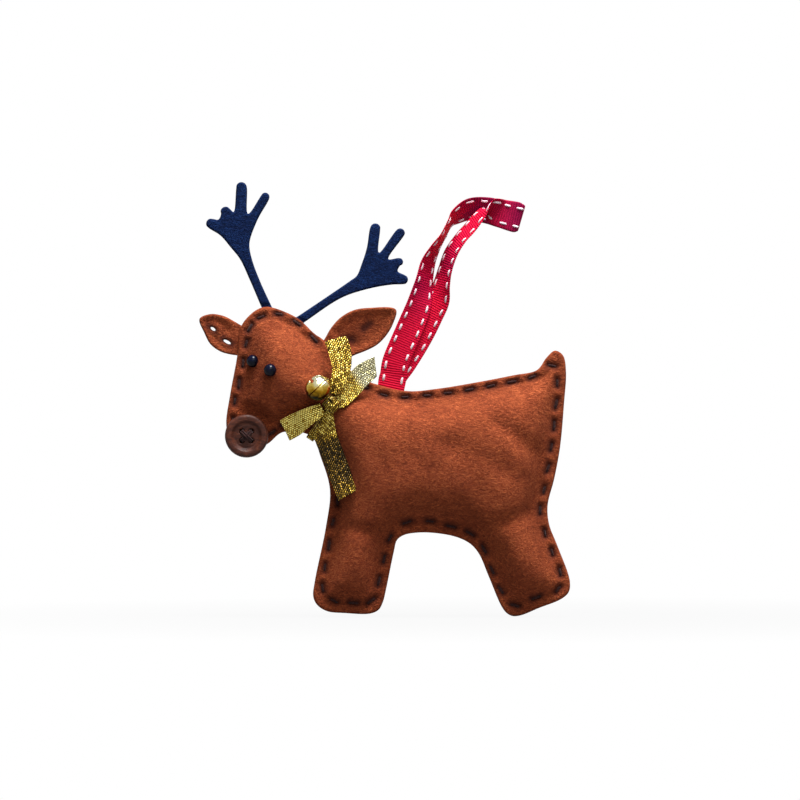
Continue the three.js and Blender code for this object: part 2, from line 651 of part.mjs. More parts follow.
// A loop goes out under itself through three places, folds at the last and comes back in front.
function bowLoop(places, across, floorDepth, stand) {
  const w = v3(across[0], 0, across[1]).normalize();
  const [inner, outer, end] = places.map(([x, z]) => at(x, z));
  const under = ([x, z]) => -Math.max(cover(x, z, bowWidth / 2) + stand, floorDepth);
  const row = ([x, z], y, wide) => [v3(x, y, z), w, wide];
  const [y1, y2] = [under(inner), under(outer)];
  return ribbon([
    fromKnot(...places[0], bowGather, across, -knotDepth * 0.05),
    row(inner, y1, bowWidth * loopNarrowing),
    row(outer, y2, bowWidth),
    row(end, y2 - loopOpening * 0.45, bowWidth),
    row(outer, y2 - loopOpening, bowWidth),
    row(inner, Math.min(y1 - loopOpening * 0.8, knotY - 1), bowWidth * loopNarrowing),
    fromKnot(...places[0], bowGather, across, -knotDepth * 0.32),
  ], 36);
}
const upperPlaces = [[4.2, 89.6], [3.9, 96], [2.1, 101.2]];
const lowerPlaces = [[-8.2, 72.6], [-13, 69.6], [-16.6, 67.6]];
const upperLoop = bowLoop(upperPlaces, [0.97, 0.25], upperLoopLift, upperLoopStand);
const lowerLoop = bowLoop(lowerPlaces, [0.45, -0.9], lowerLoopLift, lowerLoopStand);

// Tails: each leaves the knot and lies over the felt without touching it.
function tailRow(x, z, across, wide, stand, floorDepth = 0) {
  const [px, pz] = at(x, z);
  const top = Math.max(cover(px, pz, wide / 2) + stand + ribbonThickness / 2, floorDepth);
  return [v3(px, -top, pz), v3(across[0], 0, across[1]).normalize(), wide];
}
const rightTail = ribbon([
  fromKnot(10, 80.5, bowGather, [0.5, -0.86], knotDepth * 0.25),
  tailRow(7.9, 82.9, [0.6, -0.8], bowWidth * 0.62, bowStandOff),
  tailRow(11.6, 87.6, [0.5, -0.86], bowWidth, bowStandOff, 6.4),
  tailRow(16.9, 91.3, [0.12, -0.99], bowWidth * 0.9, bowStandOff, 5.6),
], 14, { skewed: true });
const bandRise = ribbonThickness + clearance;
const longTail = ribbon([
  fromKnot(-1.2, 70.6, bowGather, [0.98, 0.1], 0.4),
  tailRow(-0.6, 71.4, [0.98, 0.1], bowWidth * 0.56, bowStandOff + bandRise),
  tailRow(-1.6, 66.2, [0.98, 0.15], bowWidth, bowStandOff),
  tailRow(1.1, 58.7, [0.93, 0.37], bowWidth, bowStandOff),
  tailRow(4, 50.8, [0.93, 0.37], bowWidth, bowStandOff),
  tailRow(6.5, 43.6, [0.87, 0.5], bowWidth * 0.9, bowStandOff),
], 20, { skewed: true });

// Bell: two half shells and a wire shank, hung on a thread that goes through the shank to the knot.
const bellRadius = bellDiameter / 2;
const shankOuter = shankRadius + shankWire / 2;
const bellAxis = v3(-0.68, 0, 0.73).normalize();
const bellHingeAxis = v3(bellAxis.z, 0, -bellAxis.x);
const shankReach = bellRadius + shankOuter - shankSink;
const shankXZ = [knotX - 0.7, knotZ + 1.5];
const bellXZ = [shankXZ[0] + bellAxis.x * shankReach, shankXZ[1] + bellAxis.z * shankReach];
const bellDepth = Math.max(
  cover(...bellXZ, bellRadius * 0.6) + 2 * clearance + bellRadius,
  -knotY + knotDepth / 2 + shankOuter + 2 * clearance,
);
const bellPivot = v3(shankXZ[0], -bellDepth, shankXZ[1]);
const bellCentre = bellPivot.clone().addScaledVector(bellAxis, shankReach);
const bellInner = bellRadius - bellWall;
function halfShell(axis) {
  const profile = [];
  const steps = 6;
  const lipAngle = clearance / 2 / bellRadius;
  for (let k = 0; k <= steps; k += 1) {
    const angle = lipAngle + ((Math.PI / 2 - lipAngle) * k) / steps;
    profile.push([k === steps ? 0 : bellRadius * Math.cos(angle), bellRadius * Math.sin(angle)]);
  }
  for (let k = steps; k >= 0; k -= 1) {
    const angle = lipAngle + ((Math.PI / 2 - lipAngle) * k) / steps;
    profile.push([k === steps ? 0 : bellInner * Math.cos(angle), bellInner * Math.sin(angle)]);
  }
  profile.push(profile[0]);
  return turned(profile, bellCentre, axis);
}
const upperShell = halfShell(bellAxis.clone().negate());
let lowerShell = halfShell(bellAxis);
for (const across of [bellHingeAxis, v3(0, 1, 0)]) {
  const side = across.clone().cross(bellAxis).normalize();
  const slot = new THREE.BoxGeometry(bellSlot, bellRadius * 1.5, bellRadius * 1.1);
  const frame = new THREE.Matrix4().makeBasis(side, across, side.clone().cross(across));
  slot.applyMatrix4(frame);
  const middle = bellCentre.clone().addScaledVector(bellAxis, bellRadius);
  slot.translate(middle.x, middle.y, middle.z);
  lowerShell = lowerShell.subtract(solid(slot));
}
const ring = new THREE.TorusGeometry(shankRadius, shankWire / 2, 8, 18);
ring.applyQuaternion(new THREE.Quaternion().setFromUnitVectors(v3(0, 0, 1), bellHingeAxis));
ring.translate(bellPivot.x, bellPivot.y, bellPivot.z);
const bellRoom = new THREE.SphereGeometry(bellRadius + clearance, 24, 12);
bellRoom.translate(bellCentre.x, bellCentre.y, bellCentre.z);
const shank = solid(ring).subtract(solid(bellRoom));
const pelletRest = bellInner - pelletDiameter / 2 - clearance;
const pelletCentre = bellCentre.clone().addScaledVector(bellAxis, -pelletRest);
const pelletBall = new THREE.SphereGeometry(pelletDiameter / 2, 12, 8);
pelletBall.translate(pelletCentre.x, pelletCentre.y, pelletCentre.z);
const pellet = solid(pelletBall);
const onHinge = (reach) => bellPivot.clone().addScaledVector(bellHingeAxis, reach);
const tieReach = (tieSpan + tieThread) / 2;
let tie = rod(onHinge(-tieReach), onHinge(tieReach), tieThread / 2);
for (const end of [onHinge(-tieSpan / 2), onHinge(tieSpan / 2)]) {
  const foot = v3(end.x, knotY - knotDepth / 2 - tieGap, end.z);
  tie = tie.add(rod(end, foot, tieThread / 2 - threadLegInset));
}

// Every piece, shifted so that the ribbon's hanging point is the origin.
const [hookX, hookZ] = at(69.6, 146.4);
const shifted = new THREE.Group();
shifted.position.set(-hookX, 0, -hookZ);
function add(name, body, look) {
  const mesh = body.getMesh();
  const geometry = new THREE.BufferGeometry();
  geometry.setAttribute('position', new THREE.Float32BufferAttribute(mesh.vertProperties, 3));
  geometry.setIndex(Array.from(mesh.triVerts));
  const node = new THREE.Mesh(mergeVertices(geometry, nodeWeldGap), new THREE.MeshStandardMaterial(look));
  node.name = name;
  shifted.add(node);
}

const felt = { color: '#a5542f', roughness: 0.95 };
const stuffing = { color: '#ece6da', roughness: 1 };
const navyFelt = { color: '#141c38', roughness: 0.9 };
const darkGlass = { color: '#141c38', roughness: 0.15 };
const brownButton = { color: '#4a2417', roughness: 0.3 };
const darkThread = { color: '#2c1210', roughness: 0.8 };
const goldRibbon = { color: '#c99a2c', roughness: 0.35, metalness: 0.5 };
const goldThread = { color: '#c99a2c', roughness: 0.7 };
const brass = { color: '#caa24a', roughness: 0.2, metalness: 1 };
const steel = { color: '#8a8a8e', roughness: 0.3, metalness: 1 };
const redRibbon = { color: '#b80f2c', roughness: 0.8 };
add('front_felt_panel', feltPanel(-1), felt);
add('back_felt_panel', feltPanel(1), felt);
add('torso_stuffing', torsoWad, stuffing);
add('head_stuffing', headWad, stuffing);
add('front_leg_stuffing', frontLegWad, stuffing);
add('rear_leg_stuffing', rearLegWad, stuffing);
add('left_ear', leftEar.leaf, felt);
add('left_ear_tab', leftEar.tab, felt);
add('right_ear', rightEar.leaf, felt);
add('right_ear_tab', rightEar.tab, felt);
add('left_antler', leftAntler.piece, navyFelt);
add('right_antler', rightAntler.piece, navyFelt);
add('left_eye_bead', eye(-28.2, 93.2), darkGlass);
add('right_eye_bead', eye(-21.8, 89.9), darkGlass);
add('nose_button', button, brownButton);
add('nose_thread', noseSewing, darkThread);
add('neck_band', band, goldRibbon);
add('bow_knot', knot, goldRibbon);
add('bow_loop_upper', upperLoop, goldRibbon);
add('bow_loop_lower', lowerLoop, goldRibbon);
add('bow_tail_right', rightTail, goldRibbon);
add('bow_tail_long', longTail, goldRibbon);
add('bell_upper_shell', upperShell, brass);
add('bell_lower_shell', lowerShell, brass);
add('bell_shank', shank, brass);
add('bell_pellet', pellet, steel);
add('bell_tie', tie, goldThread);
add('hanger_ribbon', hanger, redRibbon);
add('hanger_tab', hangerTab, redRibbon);

const part = new THREE.Group();
part.name = 'felt_reindeer_ornament';
part.add(shifted);
export default part;
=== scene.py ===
# %% [markdown]
# # A stuffed felt reindeer
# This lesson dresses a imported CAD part: a flat reindeer sewn from two felts and stuffed, with ears,
# antlers, a button nose, a gold bow with a bell, and a red ribbon loop. The CAD solids give every place
# and joint. Here each soft piece is made again at a finer scale, as a surface worked out with numpy, and
# gets a finish.

import json

import bpy
import numpy as np
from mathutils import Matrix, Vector

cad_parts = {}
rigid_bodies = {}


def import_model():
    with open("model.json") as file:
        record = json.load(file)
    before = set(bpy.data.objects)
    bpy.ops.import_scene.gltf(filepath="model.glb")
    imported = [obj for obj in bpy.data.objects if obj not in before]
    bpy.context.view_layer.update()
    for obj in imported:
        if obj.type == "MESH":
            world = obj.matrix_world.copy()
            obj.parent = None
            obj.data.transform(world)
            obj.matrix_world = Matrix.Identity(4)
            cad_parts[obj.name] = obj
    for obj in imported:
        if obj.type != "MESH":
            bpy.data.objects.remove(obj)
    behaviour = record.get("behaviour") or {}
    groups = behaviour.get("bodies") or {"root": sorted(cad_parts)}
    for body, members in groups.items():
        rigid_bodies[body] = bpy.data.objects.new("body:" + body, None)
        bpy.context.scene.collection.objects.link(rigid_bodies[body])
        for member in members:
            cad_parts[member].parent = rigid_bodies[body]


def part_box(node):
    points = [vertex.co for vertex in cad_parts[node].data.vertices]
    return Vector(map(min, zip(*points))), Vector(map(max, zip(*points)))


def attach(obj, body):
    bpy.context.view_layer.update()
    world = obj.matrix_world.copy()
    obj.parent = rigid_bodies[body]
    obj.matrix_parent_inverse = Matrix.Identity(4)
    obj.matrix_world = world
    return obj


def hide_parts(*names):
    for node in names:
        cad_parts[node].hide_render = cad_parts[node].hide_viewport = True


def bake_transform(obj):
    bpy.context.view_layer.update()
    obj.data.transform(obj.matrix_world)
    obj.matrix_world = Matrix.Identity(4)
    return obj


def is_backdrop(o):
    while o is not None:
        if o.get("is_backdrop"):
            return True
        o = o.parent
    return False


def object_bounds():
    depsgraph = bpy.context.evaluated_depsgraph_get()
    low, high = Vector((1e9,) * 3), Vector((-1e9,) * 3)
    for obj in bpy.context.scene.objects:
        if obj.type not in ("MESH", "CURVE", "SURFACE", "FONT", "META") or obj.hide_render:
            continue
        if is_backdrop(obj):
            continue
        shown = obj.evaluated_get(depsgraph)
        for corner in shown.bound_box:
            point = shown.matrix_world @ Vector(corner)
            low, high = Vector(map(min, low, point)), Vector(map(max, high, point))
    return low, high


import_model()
cad_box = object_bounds()

# %% [markdown]
# ## Where things are
# The maker's paper pattern is drawn in millimetres, with x to the right from the chest and z up from the
# soles. The part's own origin is the hanging point at the end of the ribbon, so one function moves
# pattern points to the row frame, in metres. y stays the depth: the front felt is on the minus side.

# %% From pattern to row frame
MM = 0.001
HOOK = np.array([69.6, 0.0, 146.4])


def to_row(points):
    """Pattern points (x, y, z) in millimetres, moved so that the hook is the origin, in metres."""
    return (np.asarray(points, float) - HOOK) * MM


def row_point(point):
    """One pattern point as a plain tuple in the row frame."""
    return tuple(to_row(point))


def add_object(name, data, location=(0, 0, 0), rotation=(0, 0, 0)):
    """A new object in the scene, for a mesh, a lamp or a camera."""
    made = bpy.data.objects.new(name, data)
    made.location, made.rotation_euler = location, rotation
    bpy.context.scene.collection.objects.link(made)
    return made


print("the hook on the pattern:", HOOK, "mm")

# %% [markdown]
# ## The camera
# The photograph looks straight at the front, from far away. One photo pixel is 0.37 mm, because the 10 mm
# red ribbon is 27 pixels wide. A long lens at 2.4 m frames 800 such pixels, and the middle pixel of the
# picture is a known place on the pattern.

# %% Camera
PIXEL_MM = 10 / 27
PICTURE_PIXELS = 800
CHEST_PIXEL, SOLE_PIXEL = 330, 613
CAMERA_AWAY, SENSOR_MM = 2.4, 36
middle_x = (PICTURE_PIXELS / 2 - CHEST_PIXEL) * PIXEL_MM
middle_z = (SOLE_PIXEL - PICTURE_PIXELS / 2) * PIXEL_MM
picture_centre = Vector(row_point((middle_x, 0, middle_z)))
optics = bpy.data.cameras.new("camera")
optics.sensor_width = SENSOR_MM
optics.lens = SENSOR_MM * CAMERA_AWAY / (PICTURE_PIXELS * PIXEL_MM * MM)
camera_place = picture_centre - Vector((0, CAMERA_AWAY, 0))
bpy.context.scene.camera = add_object("camera", optics, camera_place, (np.pi / 2, 0, 0))
print("lens:", round(optics.lens, 1), "mm")

# %% [markdown]
# ## Building blocks for finishes
# A finish is a small network of nodes that ends in one shader. A class keeps each network readable: it
# makes a node and fills its sockets, does arithmetic, turns a number into shades of a colour, and tilts
# the surface by a bump. Patterns on felt or metal read the place on the object. Patterns on ribbon read
# the ribbon's own flat map, so that the weave follows every twist.


# %% Networks of nodes
def srgb(r, g, b):
    """A screen colour from 0 to 255 as the linear colour that Blender works in: a straight line for the
    darkest values, and a power curve above."""
    c = np.array([r, g, b]) / 255
    linear = np.where(c <= 0.04045, c / 12.92, ((c + 0.055) / 1.055) ** 2.4)
    return (*linear.tolist(), 1.0)


class Network:
    """A material's or a world's shader nodes. Each helper adds a node and returns its result's socket."""

    def __init__(self, owner):
        owner.use_nodes = True
        self.tree = owner.node_tree

    def fill(self, socket, value):
        """Links the socket if the value is another socket, and sets it if it is a plain value."""
        if isinstance(value, bpy.types.NodeSocket):
            self.tree.links.new(value, socket)
        else:
            socket.default_value = value

    def add(self, kind, inputs=(), **settings):
        """A node of a kind, with its settings and its sockets filled by name or number."""
        made = self.tree.nodes.new("ShaderNode" + kind)
        for key, value in settings.items():
            setattr(made, key, value)
        for key, value in dict(inputs).items():
            self.fill(made.inputs[key], value)
        return made

    def maths(self, operation, *values):
        """Arithmetic on numbers or sockets."""
        return self.add("Math", enumerate(values), operation=operation).outputs[0]

    def weighted(self, start, *pairs):
        """A start value, plus each pair's socket times its weight."""
        for socket, weight in pairs:
            start = self.maths("MULTIPLY_ADD", socket, weight, start)
        return start

    def remap(self, value, low, high):
        """A number between two limits, moved to new ones: low and high are (old, new) pairs."""
        limits = {"From Min": low[0], "To Min": low[1], "From Max": high[0], "To Max": high[1]}
        return self.add("MapRange", {"Value": value, **limits}).outputs["Result"]

    def place(self):
        """The place on the object, in metres."""
        return self.add("TexCoord").outputs["Object"]

    def flat_map(self):
        """The place on a ribbon's own flat map, in millimetres."""
        return self.add("UVMap", uv_map="weave").outputs["UV"]

    def split(self, vector):
        """The x, y and z of a vector."""
        return self.add("SeparateXYZ", {"Vector": vector}).outputs

    def stretch(self, vector, scale):
        """A vector scaled along each axis."""
        return self.add("Mapping", {"Vector": vector, "Scale": scale}).outputs["Vector"]

    def tone(self, name):
        """A number that the mesh carries for each point; 0 where it carries none."""
        return self.add("Attribute", attribute_name=name).outputs["Fac"]

    def noise(self, vector, scale, detail=2.0, twist=0.0):
        """Smooth random values with features about 1/scale wide."""
        sockets = {"Vector": vector, "Scale": scale, "Detail": detail, "Distortion": twist}
        return self.add("TexNoise", sockets).outputs["Fac"]

    def shades(self, factor, stops):
        """A colour for each number: stops are (position, screen colour), and it blends between them."""
        made = self.add("ValToRGB", {"Fac": factor})
        elements = made.color_ramp.elements
        elements.remove(elements[1])
        elements[0].position = stops[0][0]
        for position, _ in stops[1:]:
            elements.new(position)
        for element, (_, colour) in zip(elements, stops):
            element.color = srgb(*colour)
        return made.outputs["Color"]

    def mix(self, share, first, second):
        """Two colours mixed by a share."""
        return self.add("Mix", {"Factor": share, 6: first, 7: second}, data_type="RGBA").outputs[2]


# %% Finishes
class Finish(Network):
    """A new material whose network ends in a Principled shader."""

    def __init__(self, name, **sockets):
        self.material = bpy.data.materials.new(name)
        super().__init__(self.material)
        self.set(**sockets)
        print("finish:", name)

    def set(self, **sockets):
        """Fills the shader's sockets. Underscores in names stand for spaces."""
        for key, value in sockets.items():
            self.fill(self.tree.nodes["Principled BSDF"].inputs[key.replace("_", " ")], value)

    def bump(self, height, depth, strength):
        """Tilts the surface's normals by a height map of that depth in metres."""
        made = self.add("Bump", {"Height": height, "Distance": depth, "Strength": strength})
        self.set(Normal=made.outputs["Normal"])


# %% [markdown]
# ## Light and background
# The felt is brightest on the back and on the top of the head, and dark under the belly, so the main
# light is high above and a little in front. The sky gives a weak even light. The camera sees it as plain
# white, and the shiny pieces see it as light grey, so that the lamps stand out in them. The floor is
# white too, and keeps a faint shadow under the feet.

# %% Light
bpy.context.scene.view_settings.view_transform = "Standard"


def area_light(name, offset, size, watts):
    """A square lamp at an offset from the picture's centre, turned to face it."""
    data = bpy.data.lights.new(name, "AREA")
    data.size, data.energy = size, watts
    facing = (-Vector(offset)).to_track_quat("-Z", "Y").to_euler()
    add_object(name, data, picture_centre + Vector(offset), facing)
    print(f"{name}: {watts} watts")


area_light("key_light", (0.12, -0.2, 0.84), 0.4, 18.5)
area_light("front_light", (0.2, -0.95, 0.8), 0.8, 5.4)
area_light("back_light", (0.2, 0.8, 0.5), 0.6, 6.0)

# %% White surroundings
SKY_LEVEL, GLOSSY_LEVEL = 0.1, 0.55
WHITE = (1, 1, 1, 1)
world = bpy.data.worlds.new("white_surroundings")
bpy.context.scene.world = world
sky = Network(world)
sky.tree.nodes.clear()
rays = sky.add("LightPath").outputs
seen = sky.maths("MAXIMUM", rays["Is Camera Ray"], rays["Is Transmission Ray"])
mirrored = sky.maths("MULTIPLY", rays["Is Glossy Ray"], GLOSSY_LEVEL)
level = sky.maths("MAXIMUM", seen, sky.maths("MAXIMUM", mirrored, SKY_LEVEL))
background = sky.add("Background", {"Color": WHITE, "Strength": level})
sky.add("OutputWorld", {0: background.outputs[0]})
print("white surroundings:", len(sky.tree.nodes), "nodes")

# %% Floor
FLOOR_HALF, FLOOR_GAP = 4.0, 0.0004
FLOOR_TONE, FLOOR_GLOW = 0.15, 0.93
SHADOW_NEAR, SHADOW_FAR = 0.16, 0.3
floor_z = cad_box[0].z - FLOOR_GAP
signs = ((-1, -1), (1, -1), (1, 1), (-1, 1))
floor_mesh = bpy.data.meshes.new("floor")
floor_mesh.from_pydata([(x * FLOOR_HALF, y * FLOOR_HALF, floor_z) for x, y in signs], [], [(0, 1, 2, 3)])
floor = add_object("floor", floor_mesh)
floor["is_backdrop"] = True
white_floor = bpy.data.materials.new("white_floor")
floor_mesh.materials.append(white_floor)
ground = Network(white_floor)
ground.tree.nodes.clear()
rays = ground.add("LightPath").outputs
mirrored = ground.maths("MULTIPLY", rays["Is Glossy Ray"], GLOSSY_LEVEL)
seen = ground.maths("MAXIMUM", rays["Is Camera Ray"], mirrored)
away = ground.add("VectorMath", {0: ground.place()}, operation="LENGTH").outputs["Value"]
fade = ground.remap(away, (SHADOW_NEAR, FLOOR_GLOW), (SHADOW_FAR, 1))
lit = ground.add("BsdfDiffuse", {"Color": (FLOOR_TONE, FLOOR_TONE, FLOOR_TONE, 1)}).outputs[0]
glow = ground.add("Emission", {"Strength": 1.0}).outputs[0]
mixed = ground.add("MixShader", {0: ground.maths("MULTIPLY", seen, fade), 1: lit, 2: glow})
ground.add("OutputMaterial", {0: mixed.outputs[0]})
print("floor at", round(floor_z, 4), "m")

# %% [markdown]
# ## Curves and plates
# Most pieces here are cut from a sheet: a felt, an ear, an antler, a button. One helper makes them all.
# It lays a fine square grid over an outline, keeps the squares whose middle is inside, and slides the
# squares' outer corners onto the outline, so the edge is as clean as the curve. A function then gives the
# depth of the front and of the back at each place, and a wall closes the edge.


# %% Small helpers
def unit(vectors):
    """Vectors divided by their lengths."""
    return vectors / np.linalg.norm(vectors, axis=-1, keepdims=True)


def full_turn(count):
    """Even angles round a circle."""
    return np.linspace(0, 2 * np.pi, count + 1)[:-1]


def ring_points(centre, radius, count):
    """Even points on a flat circle."""
    turn = full_turn(count)
    return np.asarray(centre) + radius * np.stack([np.cos(turn), np.sin(turn)], -1)


def smooth_step(x, low, high):
    """0 below low, 1 above high, and a smooth cubic between."""
    t = np.clip((x - low) / (high - low), 0, 1)
    return t * t * (3 - 2 * t)


def bell_curve(away, width):
    """1 in the middle, and a bell curve of the distance away from it."""
    return np.exp(-((away / width) ** 2))


def upright(places, depth):
    """Sheet places (x, z) at a depth, as points (x, y, z)."""
    return np.stack([places[..., 0], depth, places[..., 1]], -1)


# %% Smooth curves through a few points
def cubic(start, end, leave, arrive, t):
    """The cubic from start to end, for t from 0 to 1, with the slopes at which it leaves and arrives."""
    curve = start * (2 * t**3 - 3 * t**2 + 1) + end * (3 * t**2 - 2 * t**3)
    return curve + leave * (t**3 - 2 * t**2 + t) + arrive * (t**3 - t**2)


def closed_curve(points, steps):
    """A closed Catmull-Rom curve with square-root spacing, so that it never loops at close points. Between
    two points it is the cubic with the slopes that the spacing gives."""
    p1 = np.asarray(points, float)
    p0, p2, p3 = (np.roll(p1, shift, 0) for shift in (1, -1, -2))
    pairs = ((p0, p1), (p1, p2), (p2, p3))
    gap0, gap1, gap2 = (np.sqrt(np.linalg.norm(b - a, axis=1))[:, None] for a, b in pairs)
    leave = ((p1 - p0) / gap0 - (p2 - p0) / (gap0 + gap1) + (p2 - p1) / gap1) * gap1
    arrive = ((p2 - p1) / gap1 - (p3 - p1) / (gap1 + gap2) + (p3 - p2) / gap2) * gap1
    t = (np.arange(steps) / steps)[:, None]
    return cubic(*(x[:, None, :] for x in (p1, p2, leave, arrive)), t).reshape(-1, 2)


def curve_at(rows, places):
    """Rows of numbers, smoothed by an even Catmull-Rom curve and read at places counted in rows."""
    padded = np.vstack([2 * rows[0] - rows[1], rows, 2 * rows[-1] - rows[-2]])
    k = np.minimum(places.astype(int), len(rows) - 2)
    p0, p1, p2, p3 = (padded[k + i] for i in range(4))
    return cubic(p1, p2, (p2 - p0) / 2, (p3 - p1) / 2, (places - k)[:, None])


def open_curve(rows, count):
    """The smoothed rows at count even places, from the first row to the last."""
    return curve_at(np.asarray(rows, float), np.linspace(0, len(rows) - 1, count))


# %% Inside an outline, and near it
PART_SIZE = 4000


def in_parts(points):
    """The points' numbers in parts, so that no table of points against edges gets too large."""
    return np.array_split(np.arange(len(points)), max(1, len(points) // PART_SIZE))


def inside(points, *loops):
    """Even-odd test: a point is inside if a line to its right crosses the loops an odd number of times."""
    crossings = np.zeros(len(points), int)
    for loop in loops:
        (ax, az), (bx, bz) = loop.T, np.roll(loop, -1, 0).T
        rise = np.where(az == bz, 1.0, bz - az)
        for part in in_parts(points):
            x, z = points[part].T[..., None]
            spans = (az > z) != (bz > z)
            crossings[part] += (spans & (x < ax + (z - az) * (bx - ax) / rise)).sum(1)
    return crossings % 2 == 1


# %% Distances to outlines and lines
def nearest(points, *loops):
    """The nearest point on any loop: each point is dropped onto every edge."""
    a = np.vstack(loops)
    edge = np.vstack([np.roll(loop, -1, 0) for loop in loops]) - a
    found = np.empty_like(points)
    for part in in_parts(points):
        rel = points[part][:, None, :] - a
        t = np.clip((rel * edge).sum(2) / np.maximum((edge * edge).sum(1), 1e-12), 0, 1)
        foot = a + t[:, :, None] * edge
        best = np.linalg.norm(points[part][:, None, :] - foot, axis=2).argmin(1)
        found[part] = foot[np.arange(len(part)), best]
    return found


def away_from(points, *loops):
    """How far the nearest point on any loop is."""
    return np.linalg.norm(points - nearest(points, *loops), axis=1)


def from_segments(places, starts, ends):
    """The distance to the nearest segment: a place is dropped onto each one's line, between its ends."""
    starts, ends = np.atleast_2d(starts, ends)
    span = ends - starts
    rel = places[:, None, :] - starts
    t = np.clip((rel * span).sum(2) / (span * span).sum(1), 0, 1)
    return np.linalg.norm(rel - t[:, :, None] * span, axis=2).min(1)


def signed_area(outline):
    """The area by the shoelace sum, plus if the outline runs against the clock."""
    (x, z), (next_x, next_z) = outline.T, np.roll(outline, -1, 0).T
    return (x * next_z - z * next_x).sum() / 2


# %% A piece from arrays
def add_piece(name, shape, body, finish, slot, *cad_nodes, flat=None):
    """A new object from a shape: pattern points in millimetres and faces of four corners. If the faces
    enclose a minus volume, they are turned round, so that they all point outwards. flat is a ribbon's
    flat map."""
    points, faces = to_row(shape[0]), shape[1]
    a, b, c, d = np.moveaxis(points[faces], 1, 0)
    if (a * (np.cross(b, c) + np.cross(c, d))).sum() < 0:
        faces = faces[:, ::-1]
    mesh = bpy.data.meshes.new(name)
    mesh.from_pydata(points.tolist(), [], faces.tolist())
    if flat is not None:
        mesh.uv_layers.new(name="weave").data.foreach_set("uv", flat[faces].astype(np.float32).ravel())
    mesh.polygons.foreach_set("use_smooth", np.ones(len(faces), bool))
    mesh.update()
    mesh.materials.append(finish)
    piece = add_object(name, mesh)
    if body:
        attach(piece, body)
    if cad_nodes:
        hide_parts(*cad_nodes)
    print(f"{name}: {len(points)} points, {len(faces)} faces")
    return piece


def set_tone(piece, tone, values):
    """A number for each point of a piece, which its finish reads by name."""
    layer = piece.data.attributes.new(tone, "FLOAT", "POINT")
    layer.data.foreach_set("value", np.asarray(values, np.float32))


# %% A plate cut from a sheet
def quads(*corners):
    """Faces from four arrays of corners."""
    return np.stack(corners, -1).reshape(-1, 4)


def cut_plate(outline, holes, cell, depths, wrap=upright):
    """Grid squares of one cell inside the outline and outside the holes, with their outer corners moved to
    the nearest outline point. depths gives front and back depths at sheet places, and wrap makes points
    of them."""
    low, high = outline.min(0) - cell, outline.max(0) + 2 * cell
    grid = np.stack(np.meshgrid(*(np.arange(a, b, cell) for a, b in zip(low, high))), -1)
    kept = inside(((grid[:-1, :-1] + grid[1:, 1:]) / 2).reshape(-1, 2), outline, *holes)
    index = np.arange(grid.size // 2).reshape(grid.shape[:2])
    squares = quads(index[:-1, :-1], index[:-1, 1:], index[1:, 1:], index[1:, :-1])[kept]
    edges = np.stack([squares, np.roll(squares, -1, 1)], -1).reshape(-1, 2)
    key = edges.min(1) * index.size + edges.max(1)
    _, first, count = np.unique(key, return_index=True, return_counts=True)
    border = edges[first[count == 1]]
    sheet, rim = grid.reshape(-1, 2), np.unique(border)
    sheet[rim] = nearest(sheet[rim], outline, *holes)
    used, squares = np.unique(squares, return_inverse=True)
    squares, border, lift = squares.reshape(-1, 4), np.searchsorted(used, border), len(used)
    wall = quads(border[:, 1], border[:, 0], border[:, 0] + lift, border[:, 1] + lift)
    points = np.vstack([wrap(sheet[used], depth) for depth in depths(sheet[used])])
    return points, np.vstack([squares, squares[:, ::-1] + lift, wall])


def rounded_edge(away, radius):
    """How far a surface draws back near a cut edge: a quarter circle over the radius."""
    inset = radius - np.clip(away, 0, radius)
    return radius - np.sqrt(np.maximum(radius**2 - inset**2, 0))


# %% [markdown]
# ## The felt body
# The body, head, legs and tail are one outline, cut twice. Thread pulls the two felts together 3.4 mm in
# from the edge, and stuffing swells them in between. A plain distance to the edge would leave creases
# along the middle, so a smooth one is used: the inverse cube of the distance, summed round the whole
# edge. A parabola of that distance gives the swell. The button presses the muzzle flat.

# %% Outline of the body
BODY_POINTS = [
    (-22.2, 113.3), (-12.2, 109.3), (-5.9, 103.6), (-1.9, 100.6), (5.6, 89.3), (14.4, 85.6), (28.5, 82.2),
    (39.3, 83), (55.2, 85.6), (68.1, 88.1), (76.7, 90), (80.2, 94.6), (83.3, 97.2), (86.3, 95.4),
    (87.4, 89.3), (86.7, 78.1), (85.2, 61.5), (83, 49.6), (80.6, 40), (81.1, 33), (84.1, 25.2),
    (88.8, 12), (88.4, 7.8), (85.6, 5.2), (77.4, 1.9), (70.4, -0.9), (67.2, -1), (64.4, 1.1),
    (58.9, 13.3), (55.2, 21.9), (52, 25.6), (47, 28.1), (39.3, 29.6), (32.6, 29.8), (27.4, 28.9),
    (24.8, 27), (23.7, 23), (20.7, 8.5), (19.6, 4.1), (18, 1.2), (14.8, -0.2), (5.6, 0), (-1.1, 0.7),
    (-4.8, 3.1), (-6.2, 6.2), (-5.6, 11.9), (-1.5, 31.9), (0, 45.6), (-3.3, 57.4), (-7, 65.5),
    (-17.4, 67), (-22.6, 63), (-27, 60.4), (-32.2, 59.6), (-36.6, 63.2), (-38.4, 69.6), (-37, 80.7),
    (-34.4, 94.8), (-33, 105.9), (-29.3, 110.7), (-25.6, 113),
]
BODY_STEPS = 6
body_outline = closed_curve(BODY_POINTS, BODY_STEPS)
print("body outline:", len(body_outline), "points, box", body_outline.min(0), body_outline.max(0))

# %% How far the stuffing lifts a felt
SEAM_HALF_GAP, SEAM_IN, FELT_THICK = 0.4, 3.4, 1.2
FILL_DEPTH, FILL_REACH = 9.0, 15.0
NOSE = np.array([-30.8, 65.6])
BUTTON_RADIUS = 8.0
DIMPLE = (1.5, 6.0)
LEAST_AWAY = 0.5
BODY_MIDDLE = np.array([(40.0, 58.0)])


